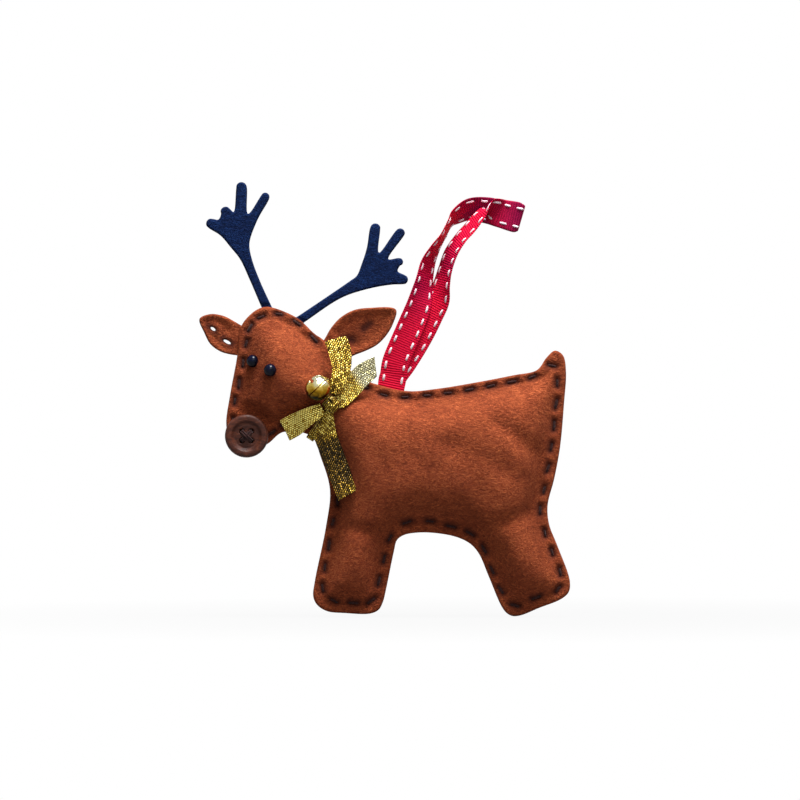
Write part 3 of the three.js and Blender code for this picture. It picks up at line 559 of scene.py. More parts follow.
def soft_distance(places):
    """Half the sum of edge length over distance cubed, to the power minus a half: near a straight edge
    this is the plain distance."""
    ahead = np.roll(body_outline, -1, 0)
    middle, length = (body_outline + ahead) / 2, np.linalg.norm(ahead - body_outline, axis=1)
    total = np.empty(len(places))
    for part in in_parts(places):
        away = np.linalg.norm(places[part][:, None, :] - middle, axis=2)
        total[part] = (length / np.maximum(away, LEAST_AWAY) ** 3).sum(1)
    return (total / 2) ** -0.5


def past(distance, start, reach):
    """Half a parabola: 0 up to a start, and then up to 1 over the reach, where it is level."""
    u = np.clip((distance - start) / reach, 0, 1)
    return 1 - (1 - u) ** 2


def from_button(places):
    """The distance from the nose button's edge."""
    return np.linalg.norm(places - NOSE, axis=1) - BUTTON_RADIUS


def swell(places):
    """The lift in millimetres: a parabola past the seam, and nothing outside or under the nose."""
    lift = FILL_DEPTH * past(soft_distance(places), SEAM_IN, FILL_REACH)
    return np.where(inside(places, body_outline), lift * smooth_step(from_button(places), *DIMPLE), 0)


print("swell in the middle of the body:", swell(BODY_MIDDLE).round(2), "mm")

# %% [markdown]
# ## Felt
# Felt is wool pressed into a sheet. Close up it has cloudy patches, strands, curls and a fine grain. It
# has no shine of its own, only the soft glow of loose fibres at a grazing angle, which Sheen gives. The
# curls are the level lines of a twisted noise: wherever it crosses its middle value there is a thin
# curly line. Where a stitch presses the felt, a tone on the mesh paints shade into the dimple.

# %% Felt finish
CURL_HALF_WIDE = 0.055


def felt_finish(name, stops, dimple_shade_colour, glow):
    """Patches, strands, grain and curls are added up to one number, which picks the shade."""
    felt = Finish(name, Roughness=0.95, Specular_IOR_Level=0.15, Sheen_Weight=glow, Sheen_Roughness=0.45)
    place = felt.place()
    patches = felt.noise(place, 70.0, 3.0, 0.6)
    grain = felt.noise(place, 2600.0)
    streaks = felt.stretch(place, (0.5, 1.0, 1.2))
    strands = felt.noise(streaks, 520.0, 2.5, 3.0)
    off_line = felt.maths("SUBTRACT", felt.noise(streaks, 430.0, 1.0, 3.0), 0.5)
    curls = felt.remap(felt.maths("ABSOLUTE", off_line), (0, 1), (CURL_HALF_WIDE, 0))
    wool = felt.weighted(-0.36, (patches, 0.35), (strands, 0.85), (grain, 0.4), (curls, 0.3))
    # The dimple tone mixes in a painted shade colour where the stitches press the felt.
    colour = felt.mix(felt.tone("painted_dimple_shade"), felt.shades(wool, stops), srgb(*dimple_shade_colour))
    felt.set(Base_Color=colour, Sheen_Tint=srgb(*stops[-1][1]))
    height = felt.weighted(felt.maths("MULTIPLY", grain, 0.5), (strands, 1.0), (curls, 0.35))
    felt.bump(height, 0.0005, 0.75)
    return felt.material


BROWN_SHADES = [(0.2, (94, 38, 20)), (0.5, (138, 63, 35)), (0.8, (180, 93, 54))]
NAVY_SHADES = [(0.2, (3, 15, 44)), (0.5, (5, 27, 68)), (0.8, (16, 44, 92))]
# The third colour is the painted shade in the stitch dimples.
brown_felt = felt_finish("brown_felt", BROWN_SHADES, (46, 18, 18), 0.12)
navy_felt = felt_finish("navy_felt", NAVY_SHADES, (6, 8, 18), 0.04)

# %% [markdown]
# ## Thread and stuffing
# The sewing thread is three plies twisted together. The plies are in the mesh, and the finish adds the
# fine fibres. The stuffing is white polyester fibre, and shows nowhere, but the piece is whole without
# its cover.


# %% Thread and stuffing finishes
def fibre_finish(name, stops, scale, glow):
    """Fine fibres: noise drawn out along one direction, as shade and as bump."""
    finish = Finish(name, Roughness=0.85, Specular_IOR_Level=0.25, Sheen_Weight=glow)
    fibres = finish.noise(finish.stretch(finish.place(), (1.0, 1.0, 0.35)), scale, 4.0, 1.0)
    finish.set(Base_Color=finish.shades(fibres, stops))
    finish.bump(fibres, 0.0003, 0.6)
    return finish.material


DARK_SHADES = [(0.25, (24, 8, 9)), (0.6, (54, 21, 18)), (0.85, (94, 42, 32))]
WHITE_SHADES = [(0.2, (214, 178, 196)), (0.55, (246, 226, 234)), (0.8, (254, 248, 251))]
dark_thread = fibre_finish("dark_thread", DARK_SHADES, 2600.0, 0.15)
white_thread = fibre_finish("white_thread", WHITE_SHADES, 2400.0, 0.3)
gold_thread = fibre_finish("gold_thread", [(0.2, (92, 70, 24)), (0.8, (206, 176, 92))], 2600.0, 0.2)
white_fibre = fibre_finish("white_fibre", [(0.25, (205, 203, 198)), (0.75, (250, 249, 246))], 420.0, 0.4)

# %% [markdown]
# ## Where the stitches pull
# Dark running stitches go round the whole outline. A stitch is about 4 mm long, and its middle was
# measured on the photograph for each one. On the back the same thread shows in the gaps, so those
# stitches sit half a step on. Each stitch presses a dimple into the felt, and the felt puffs up between
# two of them. That is what makes a hand-sewn edge look soft, so it is in the mesh and not only in the
# finish.

# %% Places of the stitches
STITCH_LENGTH = 4.0
TURN_SPREAD, LENGTH_SPREAD = 5, (0.78, 1.12)
STITCH_MIDDLES = np.array([
    (-35.2, 78.5), (-33.7, 84.9), (-32.2, 92.6), (-31, 99.8), (-29.6, 105.6), (-25.6, 109.6), (-18.9, 110.7),
    (-12.2, 107.4), (-5.9, 101.5), (3, 87.5), (12.6, 83.7), (20, 80.7), (27.8, 80), (36, 80.6), (43.7, 81.5),
    (51.6, 82.7), (59.6, 84.1), (67.3, 85.6), (74.8, 87.4), (82.2, 91.6), (84.1, 85.2), (83.7, 77.4),
    (82.9, 69.4), (81.9, 61.5), (80.7, 53.6), (79.3, 45.6), (77.8, 38.1), (79.6, 29.6), (82.2, 22.6),
    (85.2, 15.2), (84.4, 8.9), (76.3, 5.9), (68.5, 2.9), (63.3, 8.5), (60, 15.9), (57, 23.7),
    (51.9, 29.6), (44.8, 32.2), (37, 34.1), (28.5, 33.7), (22.2, 27.8), (20, 20), (18.1, 11.9),
    (15.2, 4.6), (8.7, 3.9), (1.6, 4.6), (-2.7, 9.3), (-1.9, 17), (-0.4, 25.2), (1.1, 33.7), (2.8, 41.4),
    (2.6, 50), (0.2, 58), (-4.2, 66.4), (-10, 70), (-17, 69.6), (-21.5, 66.8), (-27.4, 63.8), (-33, 64.6),
    (-35.6, 71),
])
ahead, behind = np.roll(STITCH_MIDDLES, -1, 0), np.roll(STITCH_MIDDLES, 1, 0)


def by_hand(middles, ways, seed):
    """No two stitches are alike: each is turned by a few degrees, and is at most about a fifth shorter or a
    tenth longer. Each has a middle and a way."""
    draw = np.random.default_rng(seed)
    turn = np.radians(draw.normal(0, TURN_SPREAD, len(ways)))
    c, s, (x, z) = np.cos(turn), np.sin(turn), unit(ways).T
    turned_ways = np.stack([c * x - s * z, s * x + c * z], -1)
    return np.stack([middles, turned_ways * draw.uniform(*LENGTH_SPREAD, len(ways))[:, None]], 1)


front_stitches = by_hand(STITCH_MIDDLES, ahead - behind, 11)
back_stitches = by_hand((STITCH_MIDDLES + ahead) / 2, ahead - STITCH_MIDDLES, 12)
print("stitches on each side:", len(front_stitches))

# %% Dimples and lumps
PRESS_WIDTH, PRESS_SHORT = 1.25, 0.5
LUMP_SEED, LUMP_WAVES, LUMP_HEIGHT, LUMP_LONG = 4, 14, 0.07, (9, 24)


def pressed_by(places, stitches):
    """1 on a stitch, and a bell curve of the distance away from it."""
    middle, reach = stitches[:, 0], stitches[:, 1] * (STITCH_LENGTH / 2 - PRESS_SHORT)
    return bell_curve(from_segments(places, middle - reach, middle + reach), PRESS_WIDTH)


def lumps(places):
    """A seeded sum of flat waves in all directions: stuffing is never quite even."""
    draw = np.random.default_rng(LUMP_SEED)
    turn = draw.uniform(0, 2 * np.pi, LUMP_WAVES)
    number = 2 * np.pi / draw.uniform(*LUMP_LONG, LUMP_WAVES)
    waves = number * np.stack([np.cos(turn), np.sin(turn)])
    return LUMP_HEIGHT * np.sin(places @ waves + draw.uniform(0, 2 * np.pi, LUMP_WAVES)).sum(1)


# %% The face of a stuffed felt
PRESS_DEPTH, PUFF_HEIGHT, PUFF_WIDTH = 1.0, 0.55, 1.9
LUMPS_FROM = (0.5, 5.0)
BARREL_RISE, BARREL_FROM, BARREL_REACH = 2.2, 6.0, 12.0
MUZZLE_SLIM, MUZZLE_REACH = 0.66, 20.0
# A crease is a start, an end, a depth and a width.
CREASES = [
    ((57, 31), (79, 39), 1.3, 3.2),
    ((0, 33), (22, 28.5), 1.1, 3.0),
    ((62, 70), (78, 58), 1.1, 3.6),
    ((45, 63), (70, 50), 0.5, 4.0),
    ((22, 70), (44, 62), 0.4, 4.0),
]


def stuffed_lift(places):
    """The swell, slimmer towards the nose, fuller by a second parabola in the middle of the trunk, and with
    lumps and creases that fade out towards the seam."""
    slim = MUZZLE_SLIM + (1 - MUZZLE_SLIM) * smooth_step(from_button(places), 0, MUZZLE_REACH)
    barrel = BARREL_RISE * past(soft_distance(places), BARREL_FROM, BARREL_REACH)
    lift = swell(places) * slim + barrel
    fade = smooth_step(lift, *LUMPS_FROM)
    lift = lift + fade * lumps(places)
    for start, end, depth, width in CREASES:
        lift = lift - fade * depth * bell_curve(from_segments(places, start, end), width)
    return lift


def felt_face(places, stitches):
    """The felt's outer face, in millimetres from the middle: seam gap, thickness and lift, puffed along the
    seam, and pressed down by the stitches."""
    puff = PUFF_HEIGHT * bell_curve(from_segments(places, STITCH_MIDDLES, ahead), PUFF_WIDTH)
    press = PRESS_DEPTH * pressed_by(places, stitches)
    return SEAM_HALF_GAP + FELT_THICK + stuffed_lift(places) + puff - press


print("front felt in the middle of the body:", felt_face(BODY_MIDDLE, front_stitches).round(2), "mm")

# %% [markdown]
# ## The two felts
# Each felt is one plate of the body's outline. Its outer face follows the function above, and its inner
# face lies one felt thickness below, but the thread pulls the two inner faces together outside the seam.
# The cut edge is rounded by scissors and handling.

# %% Front and back felt
FELT_CELL, FELT_ROUND, FELT_FILL = 0.55, 0.6, 0.75
SEAM_SHUT, SHUT_REACH = 0.02, 2.0
SHADE_MOST, SHADE_POWER = 0.9, 0.8


def felt_panel(name, cad_node, side, stitches):
    """A felt on one side of the middle, side -1 in front and 1 behind."""

    def depths(places):
        outer = felt_face(places, stitches) - rounded_edge(away_from(places, body_outline), FELT_ROUND)
        open_share = smooth_step(soft_distance(places), SEAM_IN, SEAM_IN + SHUT_REACH)
        inner = SEAM_SHUT + (SEAM_HALF_GAP - SEAM_SHUT) * open_share + stuffed_lift(places)
        return side * outer, side * inner

    shape = cut_plate(body_outline, [], FELT_CELL, depths)
    panel = add_piece(name, shape, "body", brown_felt, "brown_felt", cad_node)
    # A painted shade in each stitch dimple, which the felt finish reads.
    set_tone(panel, "painted_dimple_shade", SHADE_MOST * pressed_by(shape[0][:, [0, 2]], stitches) ** SHADE_POWER)


felt_panel("front_felt", "front_felt_panel", -1, front_stitches)
felt_panel("back_felt", "back_felt_panel", 1, back_stitches)

# %% [markdown]
# ## Stuffing
# The fibre filling is one soft mass that ends short of the seam. Its outline is the body's, moved
# inwards. Points that come too near another stretch of the edge are dropped, which also drops the narrow
# tail. Its faces keep 0.6 mm inside the felts.

# %% Fibre filling
FILL_CELL, FILL_INSET, FILL_GAP = 1.2, 4.6, 0.6
FILL_LEAST, FILL_SLACK = 0.15, 0.05
edge_x, edge_z = unit(np.roll(body_outline, -1, 0) - np.roll(body_outline, 1, 0)).T
inwards = np.sign(signed_area(body_outline)) * np.stack([-edge_z, edge_x], -1)
moved = body_outline + FILL_INSET * inwards
far_enough = away_from(moved, body_outline) > FILL_INSET - FILL_SLACK
fill_outline = moved[far_enough & inside(moved, body_outline)]


def fill_depths(places):
    """The filling's two faces: the felts' inner faces, less the gap."""
    depth = np.maximum(SEAM_HALF_GAP + stuffed_lift(places) - FILL_GAP, FILL_LEAST)
    return -depth, depth


wads = ["torso_stuffing", "head_stuffing", "front_leg_stuffing", "rear_leg_stuffing"]
fill_shape = cut_plate(fill_outline, [], FILL_CELL, fill_depths)
filling = add_piece("fibre_filling", fill_shape, "body", white_fibre, "stuffing", *wads)

# %% [markdown]
# ## The stitches
# One stitch is a short thread that comes up, lies in its dimple and goes down again. Its middle line is a
# low arch that dives at both ends, and its section is a flattened circle with three ridges for the plies,
# which turn along the thread. All stitches of one side are computed together, as one array of rings.


# %% Rings swept into tubes
def closed_tube_faces(rings, sides, copies):
    """Faces for copies of a tube of rings: quads round and along it, and a fan of quads at each end."""
    side = np.arange(sides)
    ring = sides * np.arange(rings - 1)[:, None]
    here, after = ring + side, ring + (side + 1) % sides
    pair = np.arange(sides // 2 - 1)
    cap = quads(pair, sides - 1 - pair, sides - 2 - pair, pair + 1)
    wall = quads(here, after, after + sides, here + sides)
    one = np.vstack([wall, cap, cap[:, ::-1] + (rings - 1) * sides])
    return (np.arange(copies)[:, None, None] * rings * sides + one).reshape(-1, 4)


def ring_sweep(centre, across, out, wide, high):
    """Rings about centres: each point is a step across and a step out from the ring's centre. Gives points
    and faces, for one tube or for many."""
    centre, across, out = (vectors[..., None, :] for vectors in (centre, across, out))
    points = centre + across * wide[..., None] + out * high[..., None]
    rings, sides = points.shape[-3:-1]
    return points.reshape(-1, 3), closed_tube_faces(rings, sides, points.size // (3 * rings * sides))


# %% Running stitches
THREAD_HALF_WIDE, THREAD_HALF_HIGH = 0.43, 0.33
STITCH_DIVE, STITCH_ARCH, STITCH_TAPER, STITCH_LEVEL = 1.1, 0.55, 0.35, 0.35
PLIES, PLY_DEPTH, PLY_TURN = 3, 0.13, 11.0
STITCH_STEPS, STITCH_SIDES = 19, 12


def running_stitches(name, side, stitches):
    """The thread lies on the felt, levelled a little along each stitch. It dives with the fifth power of the
    place along it, and tapers with the fourth."""
    along = np.linspace(-1, 1, STITCH_STEPS)
    middle, way = stitches[:, :1], stitches[:, 1:]
    places = middle + way * (along * STITCH_LENGTH / 2)[:, None]
    felt = felt_face(places.reshape(-1, 2), stitches).reshape(places.shape[:2])
    felt = np.median(felt, 1)[:, None] * STITCH_LEVEL + felt * (1 - STITCH_LEVEL)
    arch = THREAD_HALF_HIGH * STITCH_ARCH - STITCH_DIVE * np.abs(along) ** 5
    turn = full_turn(STITCH_SIDES)
    size = 1 + PLY_DEPTH * np.cos(PLIES * turn + PLY_TURN * along[:, None])
    size = size * (1 - STITCH_TAPER * along**4)[:, None]
    sideways = np.stack([-way[..., 1], np.zeros(way.shape[:2]), way[..., 0]], -1)
    wide, high = THREAD_HALF_WIDE * np.cos(turn) * size, THREAD_HALF_HIGH * np.sin(turn) * size
    shape = ring_sweep(upright(places, side * (felt + arch)), sideways, np.array([0, side, 0]), wide, high)
    add_piece(name, shape, "body", dark_thread, "thread")


running_stitches("front_running_stitches", -1, front_stitches)
running_stitches("back_running_stitches", 1, back_stitches)

# %% [markdown]
# ## The ears
# Each ear is a single leaf of the same felt, with its root caught between the two felts. One plate makes
# leaf and root: it is thin inside the seam and 1.6 mm thick outside. The leaf is dished, leans a little
# to the front, and is pressed in two or three places. On the left ear the needle left two small slits
# that show light.

# %% Ear leaves
LEAF_STEPS, EAR_CELL, SLIT_SIDES = 8, 0.33, 24
EAR_HALF, ROOT_HALF, ROOT_TUCK = 0.8, 0.34, 5.5
EAR_LEAN, LEAN_FROM, EAR_DISH, EAR_ROUND = 1.6, 0.7, 0.9, 0.55
EAR_PINCH, EAR_SHADE = 0.42, 0.85
THICK_OVER, ROUND_OVER, PINCH_OVER = (0.3, 2.0), (0.0, 1.0), (1.0, 3.0)
DISH_FROM_EDGE, DISH_FROM_ROOT = (0.4, 4.0), (1.0, 5.0)


def slit(centre, half_long, half_wide, degrees):
    """A narrow ellipse, turned by an angle from level."""
    c, s = np.cos(np.radians(degrees)), np.sin(np.radians(degrees))
    return centre + ring_points((0, 0), 1, SLIT_SIDES) * [half_long, half_wide] @ np.array([[c, s], [-s, c]])


def ear_press(places, presses):
    """1 in a press and a bell curve away from it: a press is a start, an end and a width."""
    return np.max([bell_curve(from_segments(places, a, b), width) for a, b, width in presses], axis=0)


def ear(name, cad_nodes, leaf, root, slits, presses):
    """The depth of a leaf's middle is a parabola of the reach from its root, plus the dish. Its half
    thickness grows past the seam, and is less at the edge and in each press."""
    root = np.array(root, float)
    along = unit(root[1] - root[0])
    outward = np.array([along[1], -along[0]])
    outward *= np.sign((np.mean(leaf, 0) - root[0]) @ outward)
    tuck = [root[1] - outward * ROOT_TUCK - along, root[0] - outward * ROOT_TUCK + along]
    outline = closed_curve([*leaf, *tuck], LEAF_STEPS)
    far = ((outline - root[0]) @ outward).max()

    def depths(places):
        reach = (places - root[0]) @ outward
        away = away_from(places, outline, *slits)
        half = ROOT_HALF + (EAR_HALF - ROOT_HALF) * smooth_step(reach, *THICK_OVER)
        half = half - rounded_edge(away, EAR_ROUND) * smooth_step(reach, *ROUND_OVER)
        half = half - EAR_PINCH * ear_press(places, presses) * smooth_step(reach, *PINCH_OVER)
        lean = -EAR_LEAN * (np.maximum(reach - LEAN_FROM, 0) / far) ** 2
        dish = EAR_DISH * smooth_step(away, *DISH_FROM_EDGE) * smooth_step(reach, *DISH_FROM_ROOT)
        return lean + dish - half, lean + dish + half

    shape = cut_plate(outline, slits, EAR_CELL, depths)
    piece = add_piece(name, shape, None, brown_felt, "brown_felt", *cad_nodes)
    # A painted shade in each press of the ear, which the felt finish reads.
    set_tone(piece, "painted_dimple_shade", EAR_SHADE * ear_press(shape[0][:, [0, 2]], presses))
    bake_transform(piece)


# %% Left and right ear
LEFT_LEAF = [
    (-33, 106.6), (-35.6, 108.1), (-39.3, 110), (-44.4, 110.7), (-48.3, 108.9), (-46.5, 103.7),
    (-44.3, 99.6), (-40.9, 97), (-37.6, 95.9), (-33.6, 95.4),
]
LEFT_ROOT = [(-33.4, 105.9), (-34.7, 95.7)]
LEFT_SLITS = [slit((-43.3, 105.2), 1.05, 0.5, -35), slit((-38.1, 100.4), 1.5, 0.55, -28)]
LEFT_PRESSES = [((-44.6, 106.2), (-42.6, 104.4), 1.5), ((-39.6, 101.6), (-36.6, 99.6), 1.7)]
left_nodes, right_nodes = ["left_ear", "left_ear_tab"], ["right_ear", "right_ear_tab"]
ear("left_felt_ear", left_nodes, LEFT_LEAF, LEFT_ROOT, LEFT_SLITS, LEFT_PRESSES)
RIGHT_LEAF = [
    (-2, 101.5), (0.4, 105.6), (4.1, 109.6), (8.9, 112.2), (14.4, 113), (24.4, 112.4), (23.3, 107),
    (20.7, 102.6), (17.4, 99.3), (13, 97), (8.9, 95.4), (3.4, 92.4),
]
RIGHT_ROOT = [(-0.9, 100.8), (4.2, 92.6)]
RIGHT_PRESSES = [
    ((12.4, 105.2), (14.6, 107.0), 1.7), ((5.2, 101.6), (8.4, 101.2), 1.9), ((1.4, 98.6), (4.2, 96.0), 1.6),
]
ear("right_felt_ear", right_nodes, RIGHT_LEAF, RIGHT_ROOT, [], RIGHT_PRESSES)

# %% [markdown]
# ## The antlers
# The antlers are cut from stiff navy felt, with round finger tips. A tip is five points of a half circle,
# so the smooth curve through them is round. The stem's foot is thin where it goes between the two felts.

# %% Antlers
ANTLER_HALF, ANTLER_TUCK, ANTLER_ROUND, ANTLER_CELL = 0.8, 5.0, 0.6, 0.36
STEM_OVER = (0.3, 1.8)
TIP_DEGREES = np.array([90, 45, 0, -45, -90])


def tip(x, z, radius, way_x, way_z):
    """A finger's end: five points of a half circle, from left to right, seen along its way."""
    turn = np.arctan2(way_z, way_x) + np.radians(TIP_DEGREES)
    return list(zip(x + radius * np.cos(turn), z + radius * np.sin(turn)))


def antler(name, cad_node, edge, inward):
    """A flat plate with round edges. Its half thickness grows from the seam's to the full one outside."""
    feet = np.array([edge[-1], edge[0]]) + unit(np.array(inward)) * ANTLER_TUCK
    outline = closed_curve([*edge, *feet], LEAF_STEPS)

    def depths(places):
        to_body = away_from(places, body_outline)
        outside = np.where(inside(places, body_outline), -to_body, to_body)
        half = ROOT_HALF + (ANTLER_HALF - ROOT_HALF) * smooth_step(outside, *STEM_OVER)
        round_off = rounded_edge(away_from(places, outline), ANTLER_ROUND)
        half = half - round_off * smooth_step(outside, *ROUND_OVER)
        return -half, half

    shape = cut_plate(outline, [], ANTLER_CELL, depths)
    add_piece(name, shape, "body", navy_felt, "dark_felt", cad_node)


# %% Left and right antler
LEFT_EDGE = [
    (-21.7, 113.7), (-25.7, 122.4), (-28.6, 130), (-29.8, 135.3), (-29.6, 138.3), (-26.7, 145.9),
    *tip(-24, 154.1, 1.6, 0.31, 0.95)[::-1], (-30.4, 147.8), *tip(-32.8, 157.6, 2, -0.2, 0.98)[::-1],
    (-35.7, 148.5), *tip(-38.6, 148.5, 2, -0.45, 0.89)[::-1], (-41.4, 145.7),
    *tip(-44, 144.2, 1.9, -0.9, 0.4)[::-1], (-40.6, 139.8), (-36.7, 135.3), (-33.3, 131),
    (-29.6, 123.1), (-25.3, 113.1),
]
RIGHT_EDGE = [
    (-11.1, 110.4), (7.3, 122.9), (9.9, 124.9), (11.6, 128.9), (13.6, 135.1),
    *tip(16.8, 142.4, 1.9, 0.36, 0.93), (18.1, 133.4), *tip(26, 140.7, 1.75, 0.74, 0.67), (21.6, 131.1),
    *tip(25.6, 130, 1.5, 1, 0.2), (25.1, 126.6), *tip(27.1, 123.5, 1.8, 0.95, -0.2), (22.9, 121.6),
    (14.4, 120.1), (4.2, 116.7), (-9, 108),
]
antler("left_felt_antler", "left_antler", LEFT_EDGE, (0.42, -0.9))
antler("right_felt_antler", "right_antler", RIGHT_EDGE, (-0.83, -0.56))

# %% [markdown]
# ## Eyes
# The eyes are half-round glass beads, glued on. Each is a profile turned about an axis that stands square
# to the felt, so the bead sits flat on the slope of the head. The glass is nearly black with a blue
# depth: a slow swirl of two navy shades under a clear polish, with faint smudges of handling on it.

# %% Bead finish
glass = Finish("bead_glass", Specular_IOR_Level=0.14)
place = glass.place()
swirl = glass.noise(place, 300.0, 2.0, 1.5)
glass.set(Base_Color=glass.shades(swirl, [(0.3, (2, 3, 7)), (0.7, (9, 14, 38))]))
glass.set(Roughness=glass.remap(glass.noise(place, 900.0, 3.0), (0, 0.04), (1, 0.12)))

# %% Eye beads
BEAD_RADIUS, BEAD_HEIGHT, BEAD_SIDE, BEAD_SINK = 2.35, 2.8, 0.5, 0.45
BEAD_FOOT = [(0.1, -BEAD_SINK), (BEAD_RADIUS * 0.9, -BEAD_SINK), (BEAD_RADIUS, 0.1)]
BEAD_RINGS, BEAD_SIDES, BEAD_POLE = 18, 32, 0.02
FELT_STEP = 0.6


def turned(profile, sides, centre, axis, level):
    """A profile of (radius, height) rows turned about an axis; level is any direction across."""
    side_way = unit(np.cross(axis, level))
    radius, height = np.transpose(profile)[..., None]
    wide, high = (radius * wave(full_turn(sides)) for wave in (np.cos, np.sin))
    return ring_sweep(centre + height * axis, side_way, np.cross(side_way, axis), wide, high)


def felt_point(x, z):
    """A point on the front felt, and the direction square to it, from small steps to each side."""
    steps = FELT_STEP * np.array([(0, 0), (1, 0), (-1, 0), (0, 1), (0, -1)])
    depth = felt_face(steps + [x, z], front_stitches)
    slope = [(depth[2] - depth[1]) / (2 * FELT_STEP), -1.0, (depth[4] - depth[3]) / (2 * FELT_STEP)]
    return np.array([x, -depth[0], z]), unit(np.array(slope))


def eye_bead(name, cad_node, x, z):
    """A flat bottom, a short straight side and a dome: its radius falls with the cosine of its angle."""
    rise = np.linspace(0, np.pi / 2 - BEAD_POLE, BEAD_RINGS)
    height = BEAD_SIDE + (BEAD_HEIGHT - BEAD_SIDE) * np.sin(rise)
    profile = [*BEAD_FOOT, *zip(BEAD_RADIUS * np.cos(rise), height)]
    shape = turned(profile, BEAD_SIDES, *felt_point(x, z), (0, 0, 1))
    add_piece(name, shape, "body", glass.material, "eye_gloss", cad_node)


eye_bead("left_glass_eye", "left_eye_bead", -28.2, 93.2)
eye_bead("right_glass_eye", "right_eye_bead", -21.8, 89.9)

# %% [markdown]
# ## The nose
# The nose is a plain round coat button with a raised rim, a sunk middle and four holes, in dark brown. It
# is dyed nut shell, with a wavy grain in browns and a soft gloss. It is a plate too, cut on a disc with
# four round holes. Its front follows a profile of the distance from the middle. A thread crosses it twice
# and holds it on, and crosses the felt behind it in the same way.

# %% Button finish
shell = Finish("brown_button", Specular_IOR_Level=0.25)
place = shell.place()
grain = shell.noise(shell.stretch(place, (1.0, 1.0, 3.0)), 180.0, 5.0, 2.0)
shell.set(Base_Color=shell.shades(grain, [(0.25, (46, 22, 16)), (0.55, (78, 38, 26)), (0.8, (110, 60, 40))]))
shell.set(Roughness=shell.remap(shell.noise(place, 700.0, 4.0), (0, 0.32), (1, 0.62)))
shell.bump(grain, 0.0002, 0.35)

# %% Nose button
BUTTON_BACK, BUTTON_THICK, BUTTON_CELL = 2.83, 3.2, 0.3
RECESS, WELL = 1.0, (4.7, 5.9)
GROOVE_AT, GROOVE_DEPTH, GROOVE_WIDTH = 4.3, 0.18, 0.25
FRONT_ROUND, BACK_ROUND, HOLE_ROUND = 1.2, 0.7, 0.3
HOLE_RADIUS, HOLE_OUT = 0.9, 1.8
BUTTON_SIDES, HOLE_SIDES = 120, 28
button_edge = ring_points(NOSE, BUTTON_RADIUS, BUTTON_SIDES)
hole_middles = NOSE + HOLE_OUT * np.array([(-1, -1), (-1, 1), (1, -1), (1, 1)])
button_holes = [ring_points(middle, HOLE_RADIUS, HOLE_SIDES) for middle in hole_middles]


def button_depths(places):
    """In front the thickness, less the recess inside the well, a fine groove at the rim's foot and round
    edges. Behind it is flat, with a small round edge."""
    r = np.linalg.norm(places - NOSE, axis=1)
    height = BUTTON_THICK - RECESS * (1 - smooth_step(r, *WELL))
    height = height - GROOVE_DEPTH * bell_curve(r - GROOVE_AT, GROOVE_WIDTH)
    height = height - rounded_edge(BUTTON_RADIUS - r, FRONT_ROUND)
    height = height - rounded_edge(away_from(places, *button_holes), HOLE_ROUND)
    return -(BUTTON_BACK + height), -(BUTTON_BACK + rounded_edge(BUTTON_RADIUS - r, BACK_ROUND))


button_shape = cut_plate(button_edge, button_holes, BUTTON_CELL, button_depths)
add_piece("coat_button_nose", button_shape, "body", shell.material, "button", "nose_button")

# %% A twisted thread
PLIES_PER_MM = 0.5
OFF_PATH = (0.03, 1.0, 0.07)


def length_along(path):
    """The length so far at each point of a path."""
    steps = np.linalg.norm(np.diff(path, axis=-2), axis=-1)
    return np.cumsum(np.insert(steps, 0, 0, axis=-1), axis=-1)


def thread(path, radius, sides):
    """A round thread along a path, or several: a ring of points at each step, square to the path, with ply
    ridges that turn along it."""
    way = unit(np.gradient(path, axis=-2))
    across = unit(np.cross(way, OFF_PATH))
    turn = full_turn(sides)
    twist = 2 * np.pi * PLIES_PER_MM * length_along(path)[..., None]
    size = radius * (1 + PLY_DEPTH * np.cos(PLIES * turn + twist))
    return ring_sweep(path, across, np.cross(across, way), size * np.cos(turn), size * np.sin(turn))


# %% Thread through the button
NOSE_THREAD_RADIUS, STRAND_APART, STRAND_OVER = 0.36, 0.38, 0.6
STRAND_STEPS, STRAND_SIDES = 40, 10
STRAND_SHARES = np.array([0.0, 0.0, 0.03, 0.14, 0.5, 0.86, 0.97, 1.0, 1.0])
STRAND_LIFTS = np.array([-2.1, -0.8, -0.05, 0.36, 0.42, 0.36, -0.05, -0.8, -2.1])


def button_strand(first, last, shift, over, floor_depth, side):
    """A strand that comes up through one hole, crosses the middle over a floor and goes down the opposite
    hole, on one side of the muzzle. It is shifted sideways, and one of two crossing strands goes over
    the other."""
    x, z = unit(last - first) * shift
    flat = first + [-z, x] + STRAND_SHARES[:, None] * (last - first)
    depth = floor_depth + STRAND_LIFTS + over * (STRAND_SHARES == 0.5)
    return open_curve(upright(flat, side * depth), STRAND_STEPS)


well_floor, rear_felt = BUTTON_BACK + BUTTON_THICK - RECESS, felt_face(NOSE[None, :], back_stitches)[0]
strands = [
    button_strand(hole_middles[first], hole_middles[last], shift, over, floor_depth, side)
    for floor_depth, side in ((well_floor, -1), (rear_felt, 1))
    for shift in (-STRAND_APART, STRAND_APART)
    for first, last, over in ((0, 3, 0), (1, 2, STRAND_OVER))
]
cross_shape = thread(np.array(strands), NOSE_THREAD_RADIUS, STRAND_SIDES)
add_piece("nose_cross_thread", cross_shape, "body", dark_thread, "thread", "nose_thread")

# %% [markdown]
# ## Gold ribbon
# The bow is 8 mm ribbon woven from flat metal yarn. Each yarn crossing is a small raised cell, in rows
# that shift by half a cell, and each cell catches the light differently. The mesh carries the raised
# cells, as a product of two cosines of the ribbon's own length and width. The finish tilts each cell its
# own way, and paints the colour: a painted glint of random strength on each cell's crown, and painted
# shade in the gaps between cells. Two tones on the mesh change it along the ribbon: the right tail turns
# its wrong side out, which is pale, and a tone of painted light and shade darkens the middle of the long
# tail and brightens the loops and the tails near the knot. A minus value of it is a painted highlight
# that makes the cells brighter.

